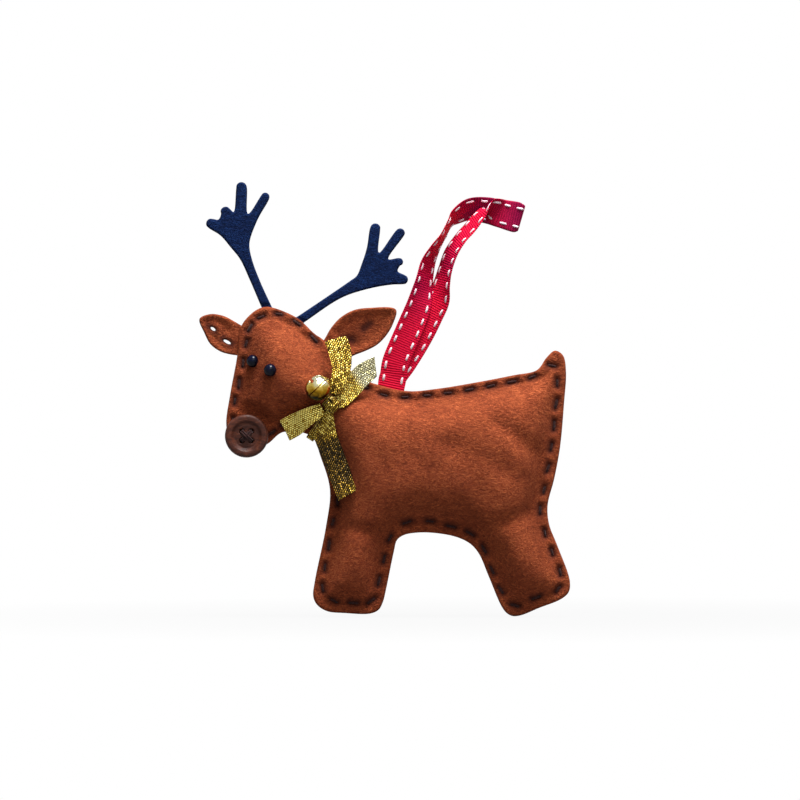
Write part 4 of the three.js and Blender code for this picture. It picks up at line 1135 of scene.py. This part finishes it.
# %% Gold weave finish
CELL_LONG, CELL_WIDE = 0.5, 0.7
CELL_LEAST, CELL_SPREAD, SHADE_PULL = 0.3, 0.75, -0.6
CROWN_RISE, CELL_TILT = 0.6, 1.6


def weave_finish(name, stops, pale_stops):
    """Rows of cells on the flat map: a crown inside each cell, and random numbers for each cell."""
    gold = Finish(name, Metallic=0.8, Roughness=0.34)
    u, v, _ = gold.split(gold.flat_map())
    across = gold.maths("MULTIPLY_ADD", v, 1 / CELL_WIDE, 0.5)
    row = gold.maths("FLOOR", across)
    along = gold.maths("MULTIPLY_ADD", u, 0.5 / CELL_LONG, 0.5)
    along = gold.maths("MULTIPLY_ADD", gold.maths("FLOORED_MODULO", row, 2.0), 0.5, along)
    cell = gold.add("CombineXYZ", {"X": gold.maths("FLOOR", along), "Y": row}).outputs[0]
    random = gold.add("TexWhiteNoise", {"Vector": cell}, noise_dimensions="2D").outputs
    tilts = gold.add("SeparateColor", {"Color": random["Color"]}).outputs
    x, y = (gold.maths("SUBTRACT", gold.maths("FRACT", place), 0.5) for place in (along, across))
    rounds = [gold.weighted(1.0, (gold.maths("MULTIPLY", q, q), -4.0)) for q in (x, y)]
    crown = gold.maths("MULTIPLY", *rounds)
    # A painted glint of random strength for each cell, scaled by the tone of painted light and shade.
    bright = gold.weighted(CELL_LEAST, (random["Value"], CELL_SPREAD))
    bright = gold.maths("MULTIPLY", bright, gold.weighted(1.0, (gold.tone("painted_lighting"), SHADE_PULL)))
    # The crown puts the painted glint in each cell's middle and leaves painted shade in the gaps.
    glint = gold.maths("MULTIPLY", crown, bright)
    colours = [gold.shades(glint, some) for some in (stops, pale_stops)]
    gold.set(Base_Color=gold.mix(gold.tone("pale"), *colours))
    leans = [gold.maths("MULTIPLY", gold.maths("SUBTRACT", t, 0.5), q) for t, q in zip(tilts, (x, y))]
    crown_height = gold.maths("MULTIPLY", crown, CROWN_RISE)
    height = gold.weighted(crown_height, (gold.maths("ADD", *leans), CELL_TILT))
    gold.bump(height, 0.0004, 0.8)
    return gold.material


# From painted shade in the gaps up to a painted glint at the top.
GOLD_SHADES = [(0.08, (38, 28, 8)), (0.32, (132, 98, 22)), (0.6, (208, 172, 56)), (0.95, (254, 238, 132))]
PALE_SHADES = [
    (0.08, (92, 88, 58)), (0.32, (176, 168, 124)), (0.6, (226, 220, 180)), (0.95, (255, 253, 232)),
]
gold_ribbon = weave_finish("gold_ribbon", GOLD_SHADES, PALE_SHADES)

# %% [markdown]
# ## Ribbons as swept strips
# A ribbon is a thin strip carried along a path. Each row of the path gives a point, the direction of the
# width and the width itself, and a smooth curve joins the rows. At each step the strip's normal is square
# to the path and to the width. Front and back are two grids, joined at the edges and closed at the ends.


# %% Rows and steps of a ribbon
def ribbon_row(place, depth, across, wide):
    """A row of a path: a pattern place (x, z) at a depth, the direction of the width, and the width."""
    return (place[0], depth, place[1], across[0], 0, across[1], wide)


def strip_frames(rows, count, closed=False, skewed=False):
    """Points, width directions, normals, widths and length so far, at count steps along the rows. A skewed
    strip keeps the rows' width directions; otherwise they are made square to the path."""
    rows = np.asarray(rows, float)
    if closed:
        rows = np.vstack([rows[-2:], rows, rows[:3]])
        path = curve_at(rows, np.linspace(2, len(rows) - 3, count + 1)[:-1])
        way = np.roll(path[:, :3], -1, 0) - np.roll(path[:, :3], 1, 0)
    else:
        path = open_curve(rows, count)
        way = np.gradient(path[:, :3], axis=0)
    way, across = unit(way), path[:, 3:6]
    normal = unit(np.cross(way, across))
    across = unit(across if skewed else np.cross(normal, way))
    return path[:, :3], across, normal, path[:, 6], length_along(path[:, :3])


# %% Swept strip
EDGE_THIN, EDGE_POWER = 0.6, 10


def strip(frames, columns, thick, relief, closed=False):
    """Points, faces and flat map of a strip. For the length, the place across and the width, the relief
    gives how far the middle moves along the normal and how far both faces swell, in millimetres."""
    centre, across, normal, wide, length = frames
    share = np.linspace(-0.5, 0.5, columns)
    u, v = np.broadcast_arrays(length[:, None], (share + 0.5) * wide[:, None])
    middle = centre[:, None, :] + across[:, None, :] * (share * wide[:, None])[..., None]
    offset, swollen = relief(u, v, wide[:, None])
    half = thick / 2 * (1 - EDGE_THIN * np.abs(2 * share) ** EDGE_POWER) + swollen
    lifts = [normal[:, None, :] * lift[..., None] for lift in (offset + half, offset - half)]
    points = np.vstack([(middle + lift).reshape(-1, 3) for lift in lifts])
    flat = np.tile(np.stack([u, v], -1).reshape(-1, 2), (2, 1))
    index = np.arange(u.size).reshape(u.shape)
    if closed:
        index = np.vstack([index, index[:1]])
    top = quads(index[:-1, :-1], index[1:, :-1], index[1:, 1:], index[:-1, 1:])
    rims = [index[::-1, 0], index[:, -1]]
    if not closed:
        rims += [index[0], index[-1, ::-1]]
    walls = [quads(rim[:-1], rim[1:], rim[1:] + u.size, rim[:-1] + u.size) for rim in rims]
    return points, np.vstack([top, top[:, ::-1] + u.size, *walls]), flat


# %% [markdown]
# ## The bow
# A band goes round the neck and ends in a knot below the bell. From the knot leave two flat loops and two
# tails.

# %% Gold strips
RIBBON_THICK, RIBBON_WIDE, GOLD_COLUMNS = 0.4, 8.2, 33
CELL_HEIGHT, PLEATS, PLEAT_HEIGHT = 0.055, 3, 0.16


def plain_weave(u, v, wide):
    """Raised cells: a product of two cosines."""
    return CELL_HEIGHT * np.cos(np.pi * u / CELL_LONG) * np.cos(np.pi * v / CELL_WIDE), 0.0


def pleated_weave(reach, crown, both_ends):
    """Raised cells, a crown across the width, and pleats that fade with the length from the knot."""

    def relief(u, v, wide):
        from_knot = np.minimum(u, u.max() - u) if both_ends else u
        near, share = bell_curve(from_knot, reach), v / wide - 0.5
        pleats = PLEAT_HEIGHT * np.cos(2 * np.pi * PLEATS * share) * near
        return plain_weave(u, v, wide)[0] + pleats + crown * (1 - 4 * share**2) * (1 - near), 0.0

    return relief


def gold_strip(name, cad_node, body, frames, relief, tones):
    """A loop or a tail of the bow. Each tone follows (length, value) pairs along it."""
    points, faces, flat = strip(frames, GOLD_COLUMNS, RIBBON_THICK, relief)
    piece = add_piece(name, (points, faces), body, gold_ribbon, "gold_ribbon", cad_node, flat=flat)
    for tone, pairs in tones.items():
        set_tone(piece, tone, np.interp(flat[:, 0], *np.transpose(pairs)))
    return piece


# %% Neck band
BAND_WIDE, BAND_STAND, RIM_STAND, BAND_GAP, CLEAR = 3.0, 1.4, 0.8, 0.15, 0.3
BAND_SHARES = np.linspace(0.02, 0.98, 9)
BAND_STEPS, BAND_COLUMNS = 300, 13
BESIDE = np.array([(a, w) for a in (-1.2, 0, 1.2) for w in (-0.5, 0, 0.5)]) * [1, BAND_WIDE]
throat, nape = np.array([-6.7, 65.6]), np.array([8.1, 87.8])
neck_long, neck_way = np.linalg.norm(nape - throat), unit(nape - throat)
neck_across = np.array([neck_way[1], -neck_way[0]])


def band_height(s):
    """Just clear of the highest felt under the band, at a distance along the neck line."""
    near = throat + neck_way * s + BESIDE @ [neck_way, neck_across]
    lift = np.maximum(stuffed_lift(near).max(), swell(near).max())
    return SEAM_HALF_GAP + FELT_THICK + lift + CLEAR + RIBBON_THICK / 2 + BAND_GAP


rim_depth, rim_stand = SEAM_HALF_GAP + FELT_THICK + PUFF_HEIGHT, RIM_STAND * BAND_STAND
over_felt = [(s, band_height(s)) for s in BAND_SHARES * neck_long]
band_line = [(-BAND_STAND, 0), (-rim_stand, -rim_depth), *((s, -y) for s, y in over_felt)]
round_nape = [(rim_stand, -rim_depth), (BAND_STAND, 0), (rim_stand, rim_depth)]
band_line += [(neck_long + s, y) for s, y in round_nape]
band_line += [*over_felt[::-1], (-rim_stand, rim_depth)]
band_rows = [ribbon_row(throat + neck_way * s, y, neck_across, BAND_WIDE) for s, y in band_line]
band_frames = strip_frames(band_rows, BAND_STEPS, closed=True)
*band_shape, band_map = strip(band_frames, BAND_COLUMNS, RIBBON_THICK, plain_weave, closed=True)
add_piece("gold_neck_band", band_shape, "body", gold_ribbon, "gold_ribbon", "neck_band", flat=band_map)

# %% Knot
# The knot is a pillow turned about its way. Its radius is a flattened arch, with pleats that twist.
KNOT_RINGS, KNOT_SIDES, KNOT_END = 40, 64, 0.985
KNOT_WAY, KNOT_UP, TO_FRONT = np.array([(0.75, 0.0, -0.66), (0.66, 0.0, 0.75), (0.0, -1.0, 0.0)])
PLEAT_DEEP, PLEAT_TURNS, PLEAT_TWIST, PLEAT_START = 0.07, 9, 2.2, 0.8
ARCH_FLAT, ARCH_ROUND, KNOT_LONG = 3, 0.45, 0.98
knot_low, knot_high = (np.array(corner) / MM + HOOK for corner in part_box("bow_knot"))
knot, (half_wide, half_deep, _) = (knot_low + knot_high) / 2, (knot_high - knot_low) / 2
t, turn = np.linspace(-KNOT_END, KNOT_END, KNOT_RINGS)[:, None], full_turn(KNOT_SIDES)
pleats = np.cos(PLEAT_TURNS * t + PLEAT_TWIST * np.sin(turn) + PLEAT_START)
radius = (1 - np.abs(t) ** ARCH_FLAT) ** ARCH_ROUND * (1 - PLEAT_DEEP + PLEAT_DEEP * pleats)
along = half_wide * KNOT_LONG * t
wide, high = half_wide * radius * np.cos(turn), half_deep * radius * np.sin(turn)
knot_shape = ring_sweep(knot + along * KNOT_WAY, KNOT_UP, TO_FRONT, wide, high)
knot_map = np.stack(np.broadcast_arrays(turn * half_wide, along + half_wide), -1).reshape(-1, 2)
add_piece("gold_knot", knot_shape, "body", gold_ribbon, "gold_ribbon", "bow_knot", flat=knot_map)

# %% Over the felt and beside the knot
KNOT_CLEAR, DISC_POINTS = 0.6, 16
bow_start, knot_deep = half_wide + KNOT_CLEAR, 2 * half_deep


def highest_felt(place, radius):
    """The highest front felt, in millimetres from the middle, in a disc round a place."""
    rings = [ring_points(place, radius * share, DISC_POINTS) for share in (0.5, 1)]
    places = np.vstack([[place], *rings])
    return felt_face(places[inside(places, body_outline)], front_stitches).max(initial=0)


def by_knot(place, deeper, across, wide):
    """A row beside the knot, on the line to a place."""
    spot = knot[[0, 2]] + unit(place - knot[[0, 2]]) * bow_start
    return ribbon_row(spot, knot[1] + deeper, across, wide)


# %% Loops
GATHER_WIDE, GATHER_MORE, NARROW, STAND = 3.6, 1.0, 0.8, 0.6
LOOP_OPENING, TURN_AT, FRONT_AT, LOOP_STEPS = 3.4, 0.45, 0.8, 230
BACK_IN, FRONT_IN, FRONT_CLEAR = 0.05, 0.32, 1.0
loop_weave = pleated_weave(reach=4.0, crown=0.25, both_ends=True)


def bow_loop(name, cad_node, places, across, floor_depth, stand, painted_lighting):
    """Out through three places near the felt, round the end and back in front, to the knot again."""
    y1, y2 = (-max(highest_felt(place, RIBBON_WIDE / 2) + stand, floor_depth) for place in places[:2])
    front = min(y1 - LOOP_OPENING * FRONT_AT, knot[1] - FRONT_CLEAR)
    out_and_back = [
        (places[0], y1, RIBBON_WIDE * NARROW),
        (places[1], y2, RIBBON_WIDE),
        (places[2], y2 - LOOP_OPENING * TURN_AT, RIBBON_WIDE),
        (places[1], y2 - LOOP_OPENING, RIBBON_WIDE),
        (places[0], front, RIBBON_WIDE * NARROW),
    ]
    rows = [ribbon_row(place, y, across, wide) for place, y, wide in out_and_back]
    rows.insert(0, by_knot(places[0], -knot_deep * BACK_IN, across, GATHER_WIDE))
    rows.append(by_knot(places[0], -knot_deep * FRONT_IN, across, GATHER_WIDE + GATHER_MORE))
    gold_strip(name, cad_node, "body", strip_frames(rows, LOOP_STEPS), loop_weave, {"painted_lighting": [(0, painted_lighting)]})


upper_places = [(4.2, 89.6), (3.9, 96), (2.1, 101.2)]
lower_places = [(-8.2, 72.6), (-13, 69.6), (-16.6, 67.6)]
# The last number is the loop's painted lighting: a minus value paints it brighter, most of all the lower
# loop.
bow_loop("gold_upper_loop", "bow_loop_upper", upper_places, (0.97, 0.25), 5.8, STAND + 0.8, -0.15)
bow_loop("gold_lower_loop", "bow_loop_lower", lower_places, (0.45, -0.9), 4.0, STAND + 0.6, -1.7)

# %% Tails
tail_weave = pleated_weave(reach=3.0, crown=0.22, both_ends=False)


def tail_row(x, z, across, share=1.0, stand=STAND, floor_depth=0.0):
    """A row over the felt: the highest felt under it, a stand, and half the ribbon."""
    wide = RIBBON_WIDE * share
    depth = max(highest_felt((x, z), wide / 2) + stand + RIBBON_THICK / 2, floor_depth)
    return ribbon_row((x, z), -depth, unit(np.array(across)), wide)


def bow_tail(name, cad_node, rows, steps, tones):
    """A strip that starts in the knot."""
    frames = strip_frames(rows, steps, skewed=True)
    piece = gold_strip(name, cad_node, None, frames, tail_weave, tones)
    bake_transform(piece)


# %% Right and long tail
right_rows = [
    ribbon_row(knot[[0, 2]], knot[1] + knot_deep * 0.1, (0.5, -0.86), GATHER_WIDE),
    by_knot((10, 80.5), knot_deep * 0.25, (0.5, -0.86), GATHER_WIDE + 1.6),
    tail_row(7.9, 82.9, (0.6, -0.8), 0.86),
    tail_row(11.6, 87.6, (0.5, -0.86), floor_depth=6.4),
    tail_row(16.9, 91.3, (0.12, -0.99), 0.9, floor_depth=5.6),
]
long_rows = [
    ribbon_row(knot[[0, 2]], knot[1] + 0.2, (0.98, 0.1), GATHER_WIDE - 0.6),
    by_knot((-1.2, 70.6), 0.4, (0.98, 0.1), GATHER_WIDE),
    tail_row(-0.6, 71.4, (0.98, 0.1), 0.56, STAND + RIBBON_THICK + CLEAR),
    tail_row(-1.6, 66.2, (0.98, 0.15)),
    tail_row(1.1, 58.7, (0.93, 0.37)),
    tail_row(4, 50.8, (0.93, 0.37)),
    tail_row(6.5, 43.6, (0.87, 0.5), 0.9),
]
# Painted lighting along each tail: minus values paint it brighter near the knot, plus values paint shade on
# the long tail.
RIGHT_TONES = {"pale": [(0, 0), (13, 0), (16, 1)], "painted_lighting": [(0, 0), (5, -0.7), (13, -0.7), (16, 0)]}
LONG_TONES = {"painted_lighting": [(0, 0), (5, -0.6), (11, -0.4), (15, 1.2), (30, 1.1), (35, 0.4)]}
bow_tail("gold_right_tail", "bow_tail_right", right_rows, 110, RIGHT_TONES)
bow_tail("gold_long_tail", "bow_tail_long", long_rows, 170, LONG_TONES)

# %% [markdown]
# ## The bell
# The jingle bell is two thin brass cups, with a cross of slots in the lower one, a wire ring and a loose
# steel pellet. A cup is a plate again: a flat disc wrapped onto the sphere, so that the distance from the
# disc's middle becomes the angle from the cup's pole. The cross of slots is then a flat outline with
# round ends.

# %% Brass and steel finishes
BELL_RADIUS, BELL_WALL = 4.8, 0.5
BELL_CENTRE = np.array([-4.26, -15.561, 83.47])
# Heights where the painted shade and the painted highlight are fullest.
PAINTED_SHADE_Z, PAINTED_LIGHT_Z = (to_row(BELL_CENTRE + [0, 0, share * BELL_RADIUS])[2] for share in (-0.8, 0.5))
PAINTED_SHADE_MOST, PAINTED_LIGHT_WEIGHT, SCRATCH_ROUGH = -0.9, 0.45, (0.6, 1.7)


def metal_finish(name, stops, rough):
    """Polished metal: tarnish in soft patches, a painted shade towards the bottom and a painted highlight
    towards the top, and fine scratches spread its gloss."""
    metal = Finish(name, Metallic=1.0)
    place = metal.place()
    # Painted light by height: the colour is painted dark towards the bottom and pale cream towards the top.
    painted_light_by_height = metal.remap(metal.split(place)["Z"], (PAINTED_SHADE_Z, PAINTED_SHADE_MOST), (PAINTED_LIGHT_Z, 1))
    tarnish_and_painted_light = metal.weighted(metal.noise(place, 240.0, 4.0, 0.8), (painted_light_by_height, PAINTED_LIGHT_WEIGHT))
    scratches = metal.noise(metal.stretch(place, (1.0, 1.0, 0.06)), 9000.0, 3.0)
    metal.set(Base_Color=metal.shades(tarnish_and_painted_light, stops))
    smooth, rough = (rough * share for share in SCRATCH_ROUGH)
    metal.set(Roughness=metal.remap(scratches, (0, smooth), (1, rough)))
    metal.bump(scratches, 0.00006, 0.25)
    return metal.material


# From the painted shade at the bottom to the painted highlight at the top.
BRASS_SHADES = [(0.2, (24, 20, 6)), (0.5, (170, 126, 28)), (0.75, (238, 204, 96)), (0.95, (255, 250, 206))]
brass = metal_finish("brass_bell", BRASS_SHADES, 0.08)
steel = metal_finish("steel_pellet", [(0.3, (120, 118, 116)), (0.9, (196, 196, 198))], 0.25)

# %% Bell cups
BELL_AXIS, BELL_ACROSS = np.array([(-0.681604, 0.0, 0.731722), (0.731722, 0.0, 0.681604)])
TO_BACK = np.array([0.0, 1.0, 0.0])
CUP_GAP, CUP_CELL, CUP_ROUND, CUP_SIDES = 0.06, 0.24, 0.18, 140
CUP_EDGE = BELL_RADIUS * (np.pi / 2) - CUP_GAP
LIP_HIGH, LIP_IN, LIP_WIDE = 0.16, 0.35, 0.3
cup_edge = ring_points((0, 0), CUP_EDGE, CUP_SIDES)
SLOT_HALF, SLOT_REACH, SLOT_END, SLOT_STEPS = 0.5, 3.7, 0.85, 15


def cross_slot():
    """Four arms with round ends, in order round the middle: each arm's end is most of a circle."""
    opening = np.pi - np.arcsin(SLOT_HALF / SLOT_END)
    turn = np.linspace(-opening, opening, SLOT_STEPS)
    arm = np.stack([SLOT_REACH + SLOT_END * np.cos(turn), SLOT_END * np.sin(turn)], -1)
    arm = np.vstack([[(SLOT_HALF, -SLOT_HALF)], arm])
    return np.vstack([arm @ [(c, s), (-s, c)] for c, s in ((1, 0), (0, 1), (-1, 0), (0, -1))])


def bell_cup(name, cad_node, pole, holes):
    """A cup about its pole: the outer face is at the radius, with a small lip at the rim, and the inner
    face is a wall less."""

    def radii(places):
        from_rim = CUP_EDGE - np.linalg.norm(places, axis=1)
        lip = LIP_HIGH * bell_curve(from_rim - LIP_IN, LIP_WIDE)
        outer = BELL_RADIUS + lip - rounded_edge(away_from(places, cup_edge, *holes), CUP_ROUND)
        return outer, np.full(len(places), BELL_RADIUS - BELL_WALL)

    def on_sphere(places, radius):
        flat = np.linalg.norm(places, axis=1)[:, None]
        ring = places / np.maximum(flat, 1e-9) @ [BELL_ACROSS, TO_BACK]
        way = np.cos(flat / BELL_RADIUS) * pole + np.sin(flat / BELL_RADIUS) * ring
        return BELL_CENTRE + radius[:, None] * way

    shape = cut_plate(cup_edge, holes, CUP_CELL, radii, on_sphere)
    add_piece(name, shape, "bell", brass, "gold_bell", cad_node)


bell_cup("brass_upper_cup", "bell_upper_shell", -BELL_AXIS, [])
bell_cup("brass_lower_cup", "bell_lower_shell", BELL_AXIS, [cross_slot()])

# %% Ring and pellet
RING_RADIUS, RING_SINK, RING_ENDS, RING_STEPS = 1.2, 0.1, (52, 308), 44
WIRE_RADIUS, WIRE_SIDES = 0.35, 14
PELLET_RADIUS, PELLET_OFF, PELLET_POLE = 1.5, 2.5, 0.03
PELLET_RINGS, PELLET_SIDES = 20, 28
bell_pivot = BELL_CENTRE - BELL_AXIS * (BELL_RADIUS + RING_RADIUS + WIRE_RADIUS - RING_SINK)
turn = np.radians(np.linspace(*RING_ENDS, RING_STEPS))[:, None]
ring_path = bell_pivot + RING_RADIUS * (np.cos(turn) * BELL_AXIS + np.sin(turn) * TO_BACK)
ring_out = np.cross(unit(np.gradient(ring_path, axis=0)), BELL_ACROSS)
wire = [WIRE_RADIUS * wave(full_turn(WIRE_SIDES)) for wave in (np.cos, np.sin)]
ring_shape = ring_sweep(ring_path, BELL_ACROSS, ring_out, *wire)
add_piece("brass_ring", ring_shape, "bell", brass, "gold_bell", "bell_shank")
rise = np.linspace(PELLET_POLE - np.pi / 2, np.pi / 2 - PELLET_POLE, PELLET_RINGS)
ball = PELLET_RADIUS * np.stack([np.cos(rise), np.sin(rise)], -1)
pellet_shape = turned(ball, PELLET_SIDES, BELL_CENTRE - BELL_AXIS * PELLET_OFF, BELL_AXIS, TO_BACK)
add_piece("rattle_pellet", pellet_shape, "pellet", steel, "pellet_steel", "bell_pellet")

# %% Bell tie
TIE_RADIUS, TIE_SPAN, TIE_SIDES, TIE_STEPS = 0.3, 2.6, 12, 60
TIE_IN, TIE_RISE, TIE_ROUND = 0.35, 0.6, 0.35
tie_path = [bell_pivot]
for side in (-1, 1):
    end = bell_pivot + BELL_ACROSS * side * TIE_SPAN / 2
    foot = np.array([end[0], knot_low[1] + TIE_IN, end[2]])
    half = [end - BELL_ACROSS * side * TIE_ROUND, foot * (1 - TIE_RISE) + end * TIE_RISE, foot]
    tie_path = half[::-1] + tie_path if side < 0 else tie_path + half
tie_shape = thread(open_curve(tie_path, TIE_STEPS), TIE_RADIUS, TIE_SIDES)
add_piece("gold_bell_tie", tie_shape, "body", gold_thread, "gold_ribbon", "bell_tie")

# %% [markdown]
# ## The hanging loop
# The loop is one length of red ribbed ribbon, 10 mm wide, with white saddle stitches along both edges. It
# leaves the back seam, twists on its way up, folds flat at the far end and comes back beside itself. Its
# ribs are 0.87 mm apart and are part of the mesh. Both ends go on between the two felts, and lie face to
# face in the seam. A painted shade makes the red deeper at the fold in the middle of the length, and in a
# patch on each strand below it.

# %% Red ribbon finish
RIB_PITCH, FOLD_AT = 0.87, 104.0
# Where the painted shade fades out from the fold, and where its patch on each strand lies.
FADE_NEAR, FADE_FAR = 10.0, 26.0
SHADE_PATCH_AT, SHADE_PATCH_REACH, SHADE_PATCH_STRENGTH = 47.0, 15.0, 0.7
# The second set of reds is a painted shade of the first.
BRIGHT_REDS = [(0.2, (140, 2, 46)), (0.5, (218, 6, 53)), (0.85, (246, 26, 66))]
SHADED_REDS = [(0.2, (86, 0, 44)), (0.5, (134, 2, 58)), (0.85, (174, 8, 74))]
red = Finish("red_ribbon", Roughness=0.7, Specular_IOR_Level=0.12)
flat = red.flat_map()
length = red.split(flat)["X"]
rib = red.maths("SINE", red.maths("MULTIPLY", length, 2 * np.pi / RIB_PITCH))
yarns = red.noise(red.stretch(flat, (0.25, 5.0, 1.0)), 1.2, 3.0)
# Yarn and dye noise, and a rib term that paints shade into the rib valleys.
dye_and_rib_shade = red.weighted(0.2, (rib, 0.13), (yarns, 0.35), (red.noise(red.place(), 60.0), 0.3))
from_fold = red.maths("ABSOLUTE", red.maths("SUBTRACT", length, FOLD_AT))
from_shade_patch = red.maths("ABSOLUTE", red.maths("SUBTRACT", from_fold, SHADE_PATCH_AT))
# Painted shade at the fold and in a patch on each strand.
fold_shade = red.remap(from_fold, (FADE_NEAR, 1), (FADE_FAR, 0))
patch_shade = red.remap(from_shade_patch, (0, SHADE_PATCH_STRENGTH), (SHADE_PATCH_REACH, 0))
reds = [red.shades(dye_and_rib_shade, stops) for stops in (BRIGHT_REDS, SHADED_REDS)]
red.set(Base_Color=red.mix(red.maths("MAXIMUM", fold_shade, patch_shade), *reds))
red.bump(red.weighted(yarns, (rib, 0.5)), 0.0002, 0.5)

# %% Path of the loop
HANGER_WIDE = 10.0
FOLD_SPREAD, SPREAD_OVER = 1.3, (60, 68.5)
FOLD_CORNER, CORNER_OVER = 1.7, (69.6, 70.9)
# A seam row is a height above the seam and a depth.
SEAM_ROWS = [(-5.6, 0.19), (-2.5, 0.19), (0.2, 0.19), (4.2, 0.35)]
# A loop row is a place (x, z), a depth y, and the direction (x, y, z) of the ribbon's width.
LOOP_ROWS = np.array([
    (27.2, 93, 1, 0.89, 0, -0.45), (32.2, 101.1, 1.5, 0.87, 0, -0.49), (37.2, 110.4, 1.7, 0.84, -0.3, -0.4),
    (40, 115.9, 1.2, 0.8, -0.5, -0.3), (41.3, 121.5, 0.6, 0.62, -0.77, -0.14),
    (42.6, 127, 0.2, 0.5, -0.85, -0.13), (44.8, 133.3, -0.3, 0.46, -0.86, -0.2),
    (48.4, 138.8, -1.1, 0.38, -0.88, -0.25), (51.8, 142.6, -2, 0.36, -0.88, -0.28),
    (54.9, 146.4, -2.9, 0.34, -0.9, -0.25), (57.4, 149.2, -3.1, 0.3, -0.95, -0.08),
    (59.8, 149.6, -2.6, 0.24, -0.6, 0.75), (63.4, 148, -1.7, 0.27, 0, 0.96),
    (68.5, 146.7, -1.1, 0.28, 0, 0.96),
    (70.2, 146.3, -0.8, 0.28, 0, 0.96), (70.9, 146.1, 0, 0.28, 0, 0.96), (70.2, 146.3, 0.8, 0.28, 0, 0.96),
    (68.5, 146.7, 1.1, 0.28, 0, 0.96), (63, 148, 1.9, 0.27, -0.1, 0.95),
    (58.1, 149.2, 2.9, 0.15, -0.25, 0.95),
    (51.9, 149.6, 3.2, -0.2, -0.6, 0.77), (46.7, 147, 2.4, -0.35, -0.85, 0.4),
    (44.4, 144.4, 1.8, -0.2, -0.97, 0.13), (41.9, 139.6, 1.2, -0.2, -0.97, 0.1),
    (38.9, 134.8, 0.7, -0.35, -0.93, 0.12), (36.3, 129.3, 0.2, -0.52, -0.84, 0.14),
    (34.8, 122.2, -0.5, -0.65, -0.75, 0.14), (33, 114.1, -1.4, -0.87, -0.4, 0.28),
    (29.3, 104.8, -1.6, -0.9, -0.12, 0.38), (24.6, 93.7, -1, -0.95, 0, 0.28),
])
seam_left, seam_right = np.array([17.6, 84.6]), np.array([27.6, 82.5])
seam_middle, seam_way = (seam_left + seam_right) / 2, unit(seam_right - seam_left)
seam_up = np.array([-seam_way[1], seam_way[0]])
foot_rows = [(seam_middle + seam_up * lift, depth) for lift, depth in SEAM_ROWS]
up_rows = [ribbon_row(place, depth, seam_way, HANGER_WIDE) for place, depth in foot_rows]
down_rows = [ribbon_row(place, -depth, -seam_way, HANGER_WIDE) for place, depth in foot_rows[::-1]]
x, z, y = LOOP_ROWS[:, :3].T
loop_wide = HANGER_WIDE + FOLD_SPREAD * smooth_step(x, *SPREAD_OVER)
loop_wide = loop_wide - FOLD_CORNER * smooth_step(x, *CORNER_OVER)
free_rows = np.column_stack([x, y, z, LOOP_ROWS[:, 3:], loop_wide])
print("rows of the loop:", len(up_rows), "up,", len(free_rows), "free,", len(down_rows), "down")

# %% Ribbed ribbon
HANGER_STEPS, HANGER_COLUMNS, HANGER_THICK = 1000, 21, 0.3
RIB_HEIGHT = 0.04


def ribs(u, v, wide):
    """Both faces carry the ribs, as a sine of the length."""
    return np.zeros_like(u), RIB_HEIGHT * np.sin(2 * np.pi * u / RIB_PITCH)


loop_frames = strip_frames([*up_rows, *free_rows, *down_rows], HANGER_STEPS)
loop_length = loop_frames[-1]
*loop_shape, loop_map = strip(loop_frames, HANGER_COLUMNS, HANGER_THICK, ribs)
nodes = ["hanger_ribbon", "hanger_tab"]
hanger = add_piece("red_hanging_loop", loop_shape, None, red.material, "red_ribbon", *nodes, flat=loop_map)
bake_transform(hanger)
print("ribbon length:", round(loop_length[-1], 1), "mm")

# %% Saddle stitches
SADDLE_LONG, SADDLE_PITCH, SADDLE_IN, SADDLE_END = 2.7, 4.8, 1.6, 8.0
SADDLE_HALF_WIDE, SADDLE_HALF_HIGH = 0.42, 0.24
SADDLE_STEPS, SADDLE_SIDES = 7, 8
SADDLE_UP, SADDLE_DIVE, SADDLE_TAPER = 0.7, 0.34, 0.45
t, turn = np.linspace(-1, 1, SADDLE_STEPS), full_turn(SADDLE_SIDES)
lift = (HANGER_THICK / 2 + SADDLE_HALF_HIGH * SADDLE_UP - SADDLE_DIVE * np.abs(t) ** 4)[:, None]


def saddle_row(edge, face):
    """Stitches on one edge and face: centres, width directions and normals at steps along each, read from
    the ribbon's frames by length. On the back they sit half a pitch on."""
    starts = np.arange(SADDLE_END, loop_length[-1] - SADDLE_END, SADDLE_PITCH)
    starts = starts + (0.0 if face > 0 else SADDLE_PITCH / 2)
    s = starts[:, None] + t * SADDLE_LONG / 2
    read = [[np.interp(s, loop_length, column) for column in values.T] for values in loop_frames[:3]]
    centre, across, normal = (np.stack(columns, -1) for columns in read)
    centre = centre + across * edge * (HANGER_WIDE / 2 - SADDLE_IN) + normal * face * lift
    return centre, across, normal


rows = [saddle_row(edge, face) for edge in (-1, 1) for face in (-1, 1)]
centre, across, normal = (np.concatenate(parts) for parts in zip(*rows))
thin = (1 - SADDLE_TAPER * t**4)[:, None]
wide, high = SADDLE_HALF_WIDE * np.cos(turn) * thin, SADDLE_HALF_HIGH * np.sin(turn) * thin
saddle_shape = ring_sweep(centre, across, normal, wide, high)
saddle = add_piece("white_saddle_stitches", saddle_shape, None, white_thread, "thread")
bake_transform(saddle)
print("saddle stitches:", len(centre))

# %% [markdown]
# ## The sizes
# The dressed object should be as large as its CAD solids, so both boxes are kept side by side and
# printed.

# %% Sizes, and the end
visual_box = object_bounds()
sizes = {"cad": [list(corner) for corner in cad_box], "visual": [list(corner) for corner in visual_box]}
for kind, box in sizes.items():
    print(kind, "size in millimetres:", (np.ptp(np.array(box), axis=0) / MM).round(1))
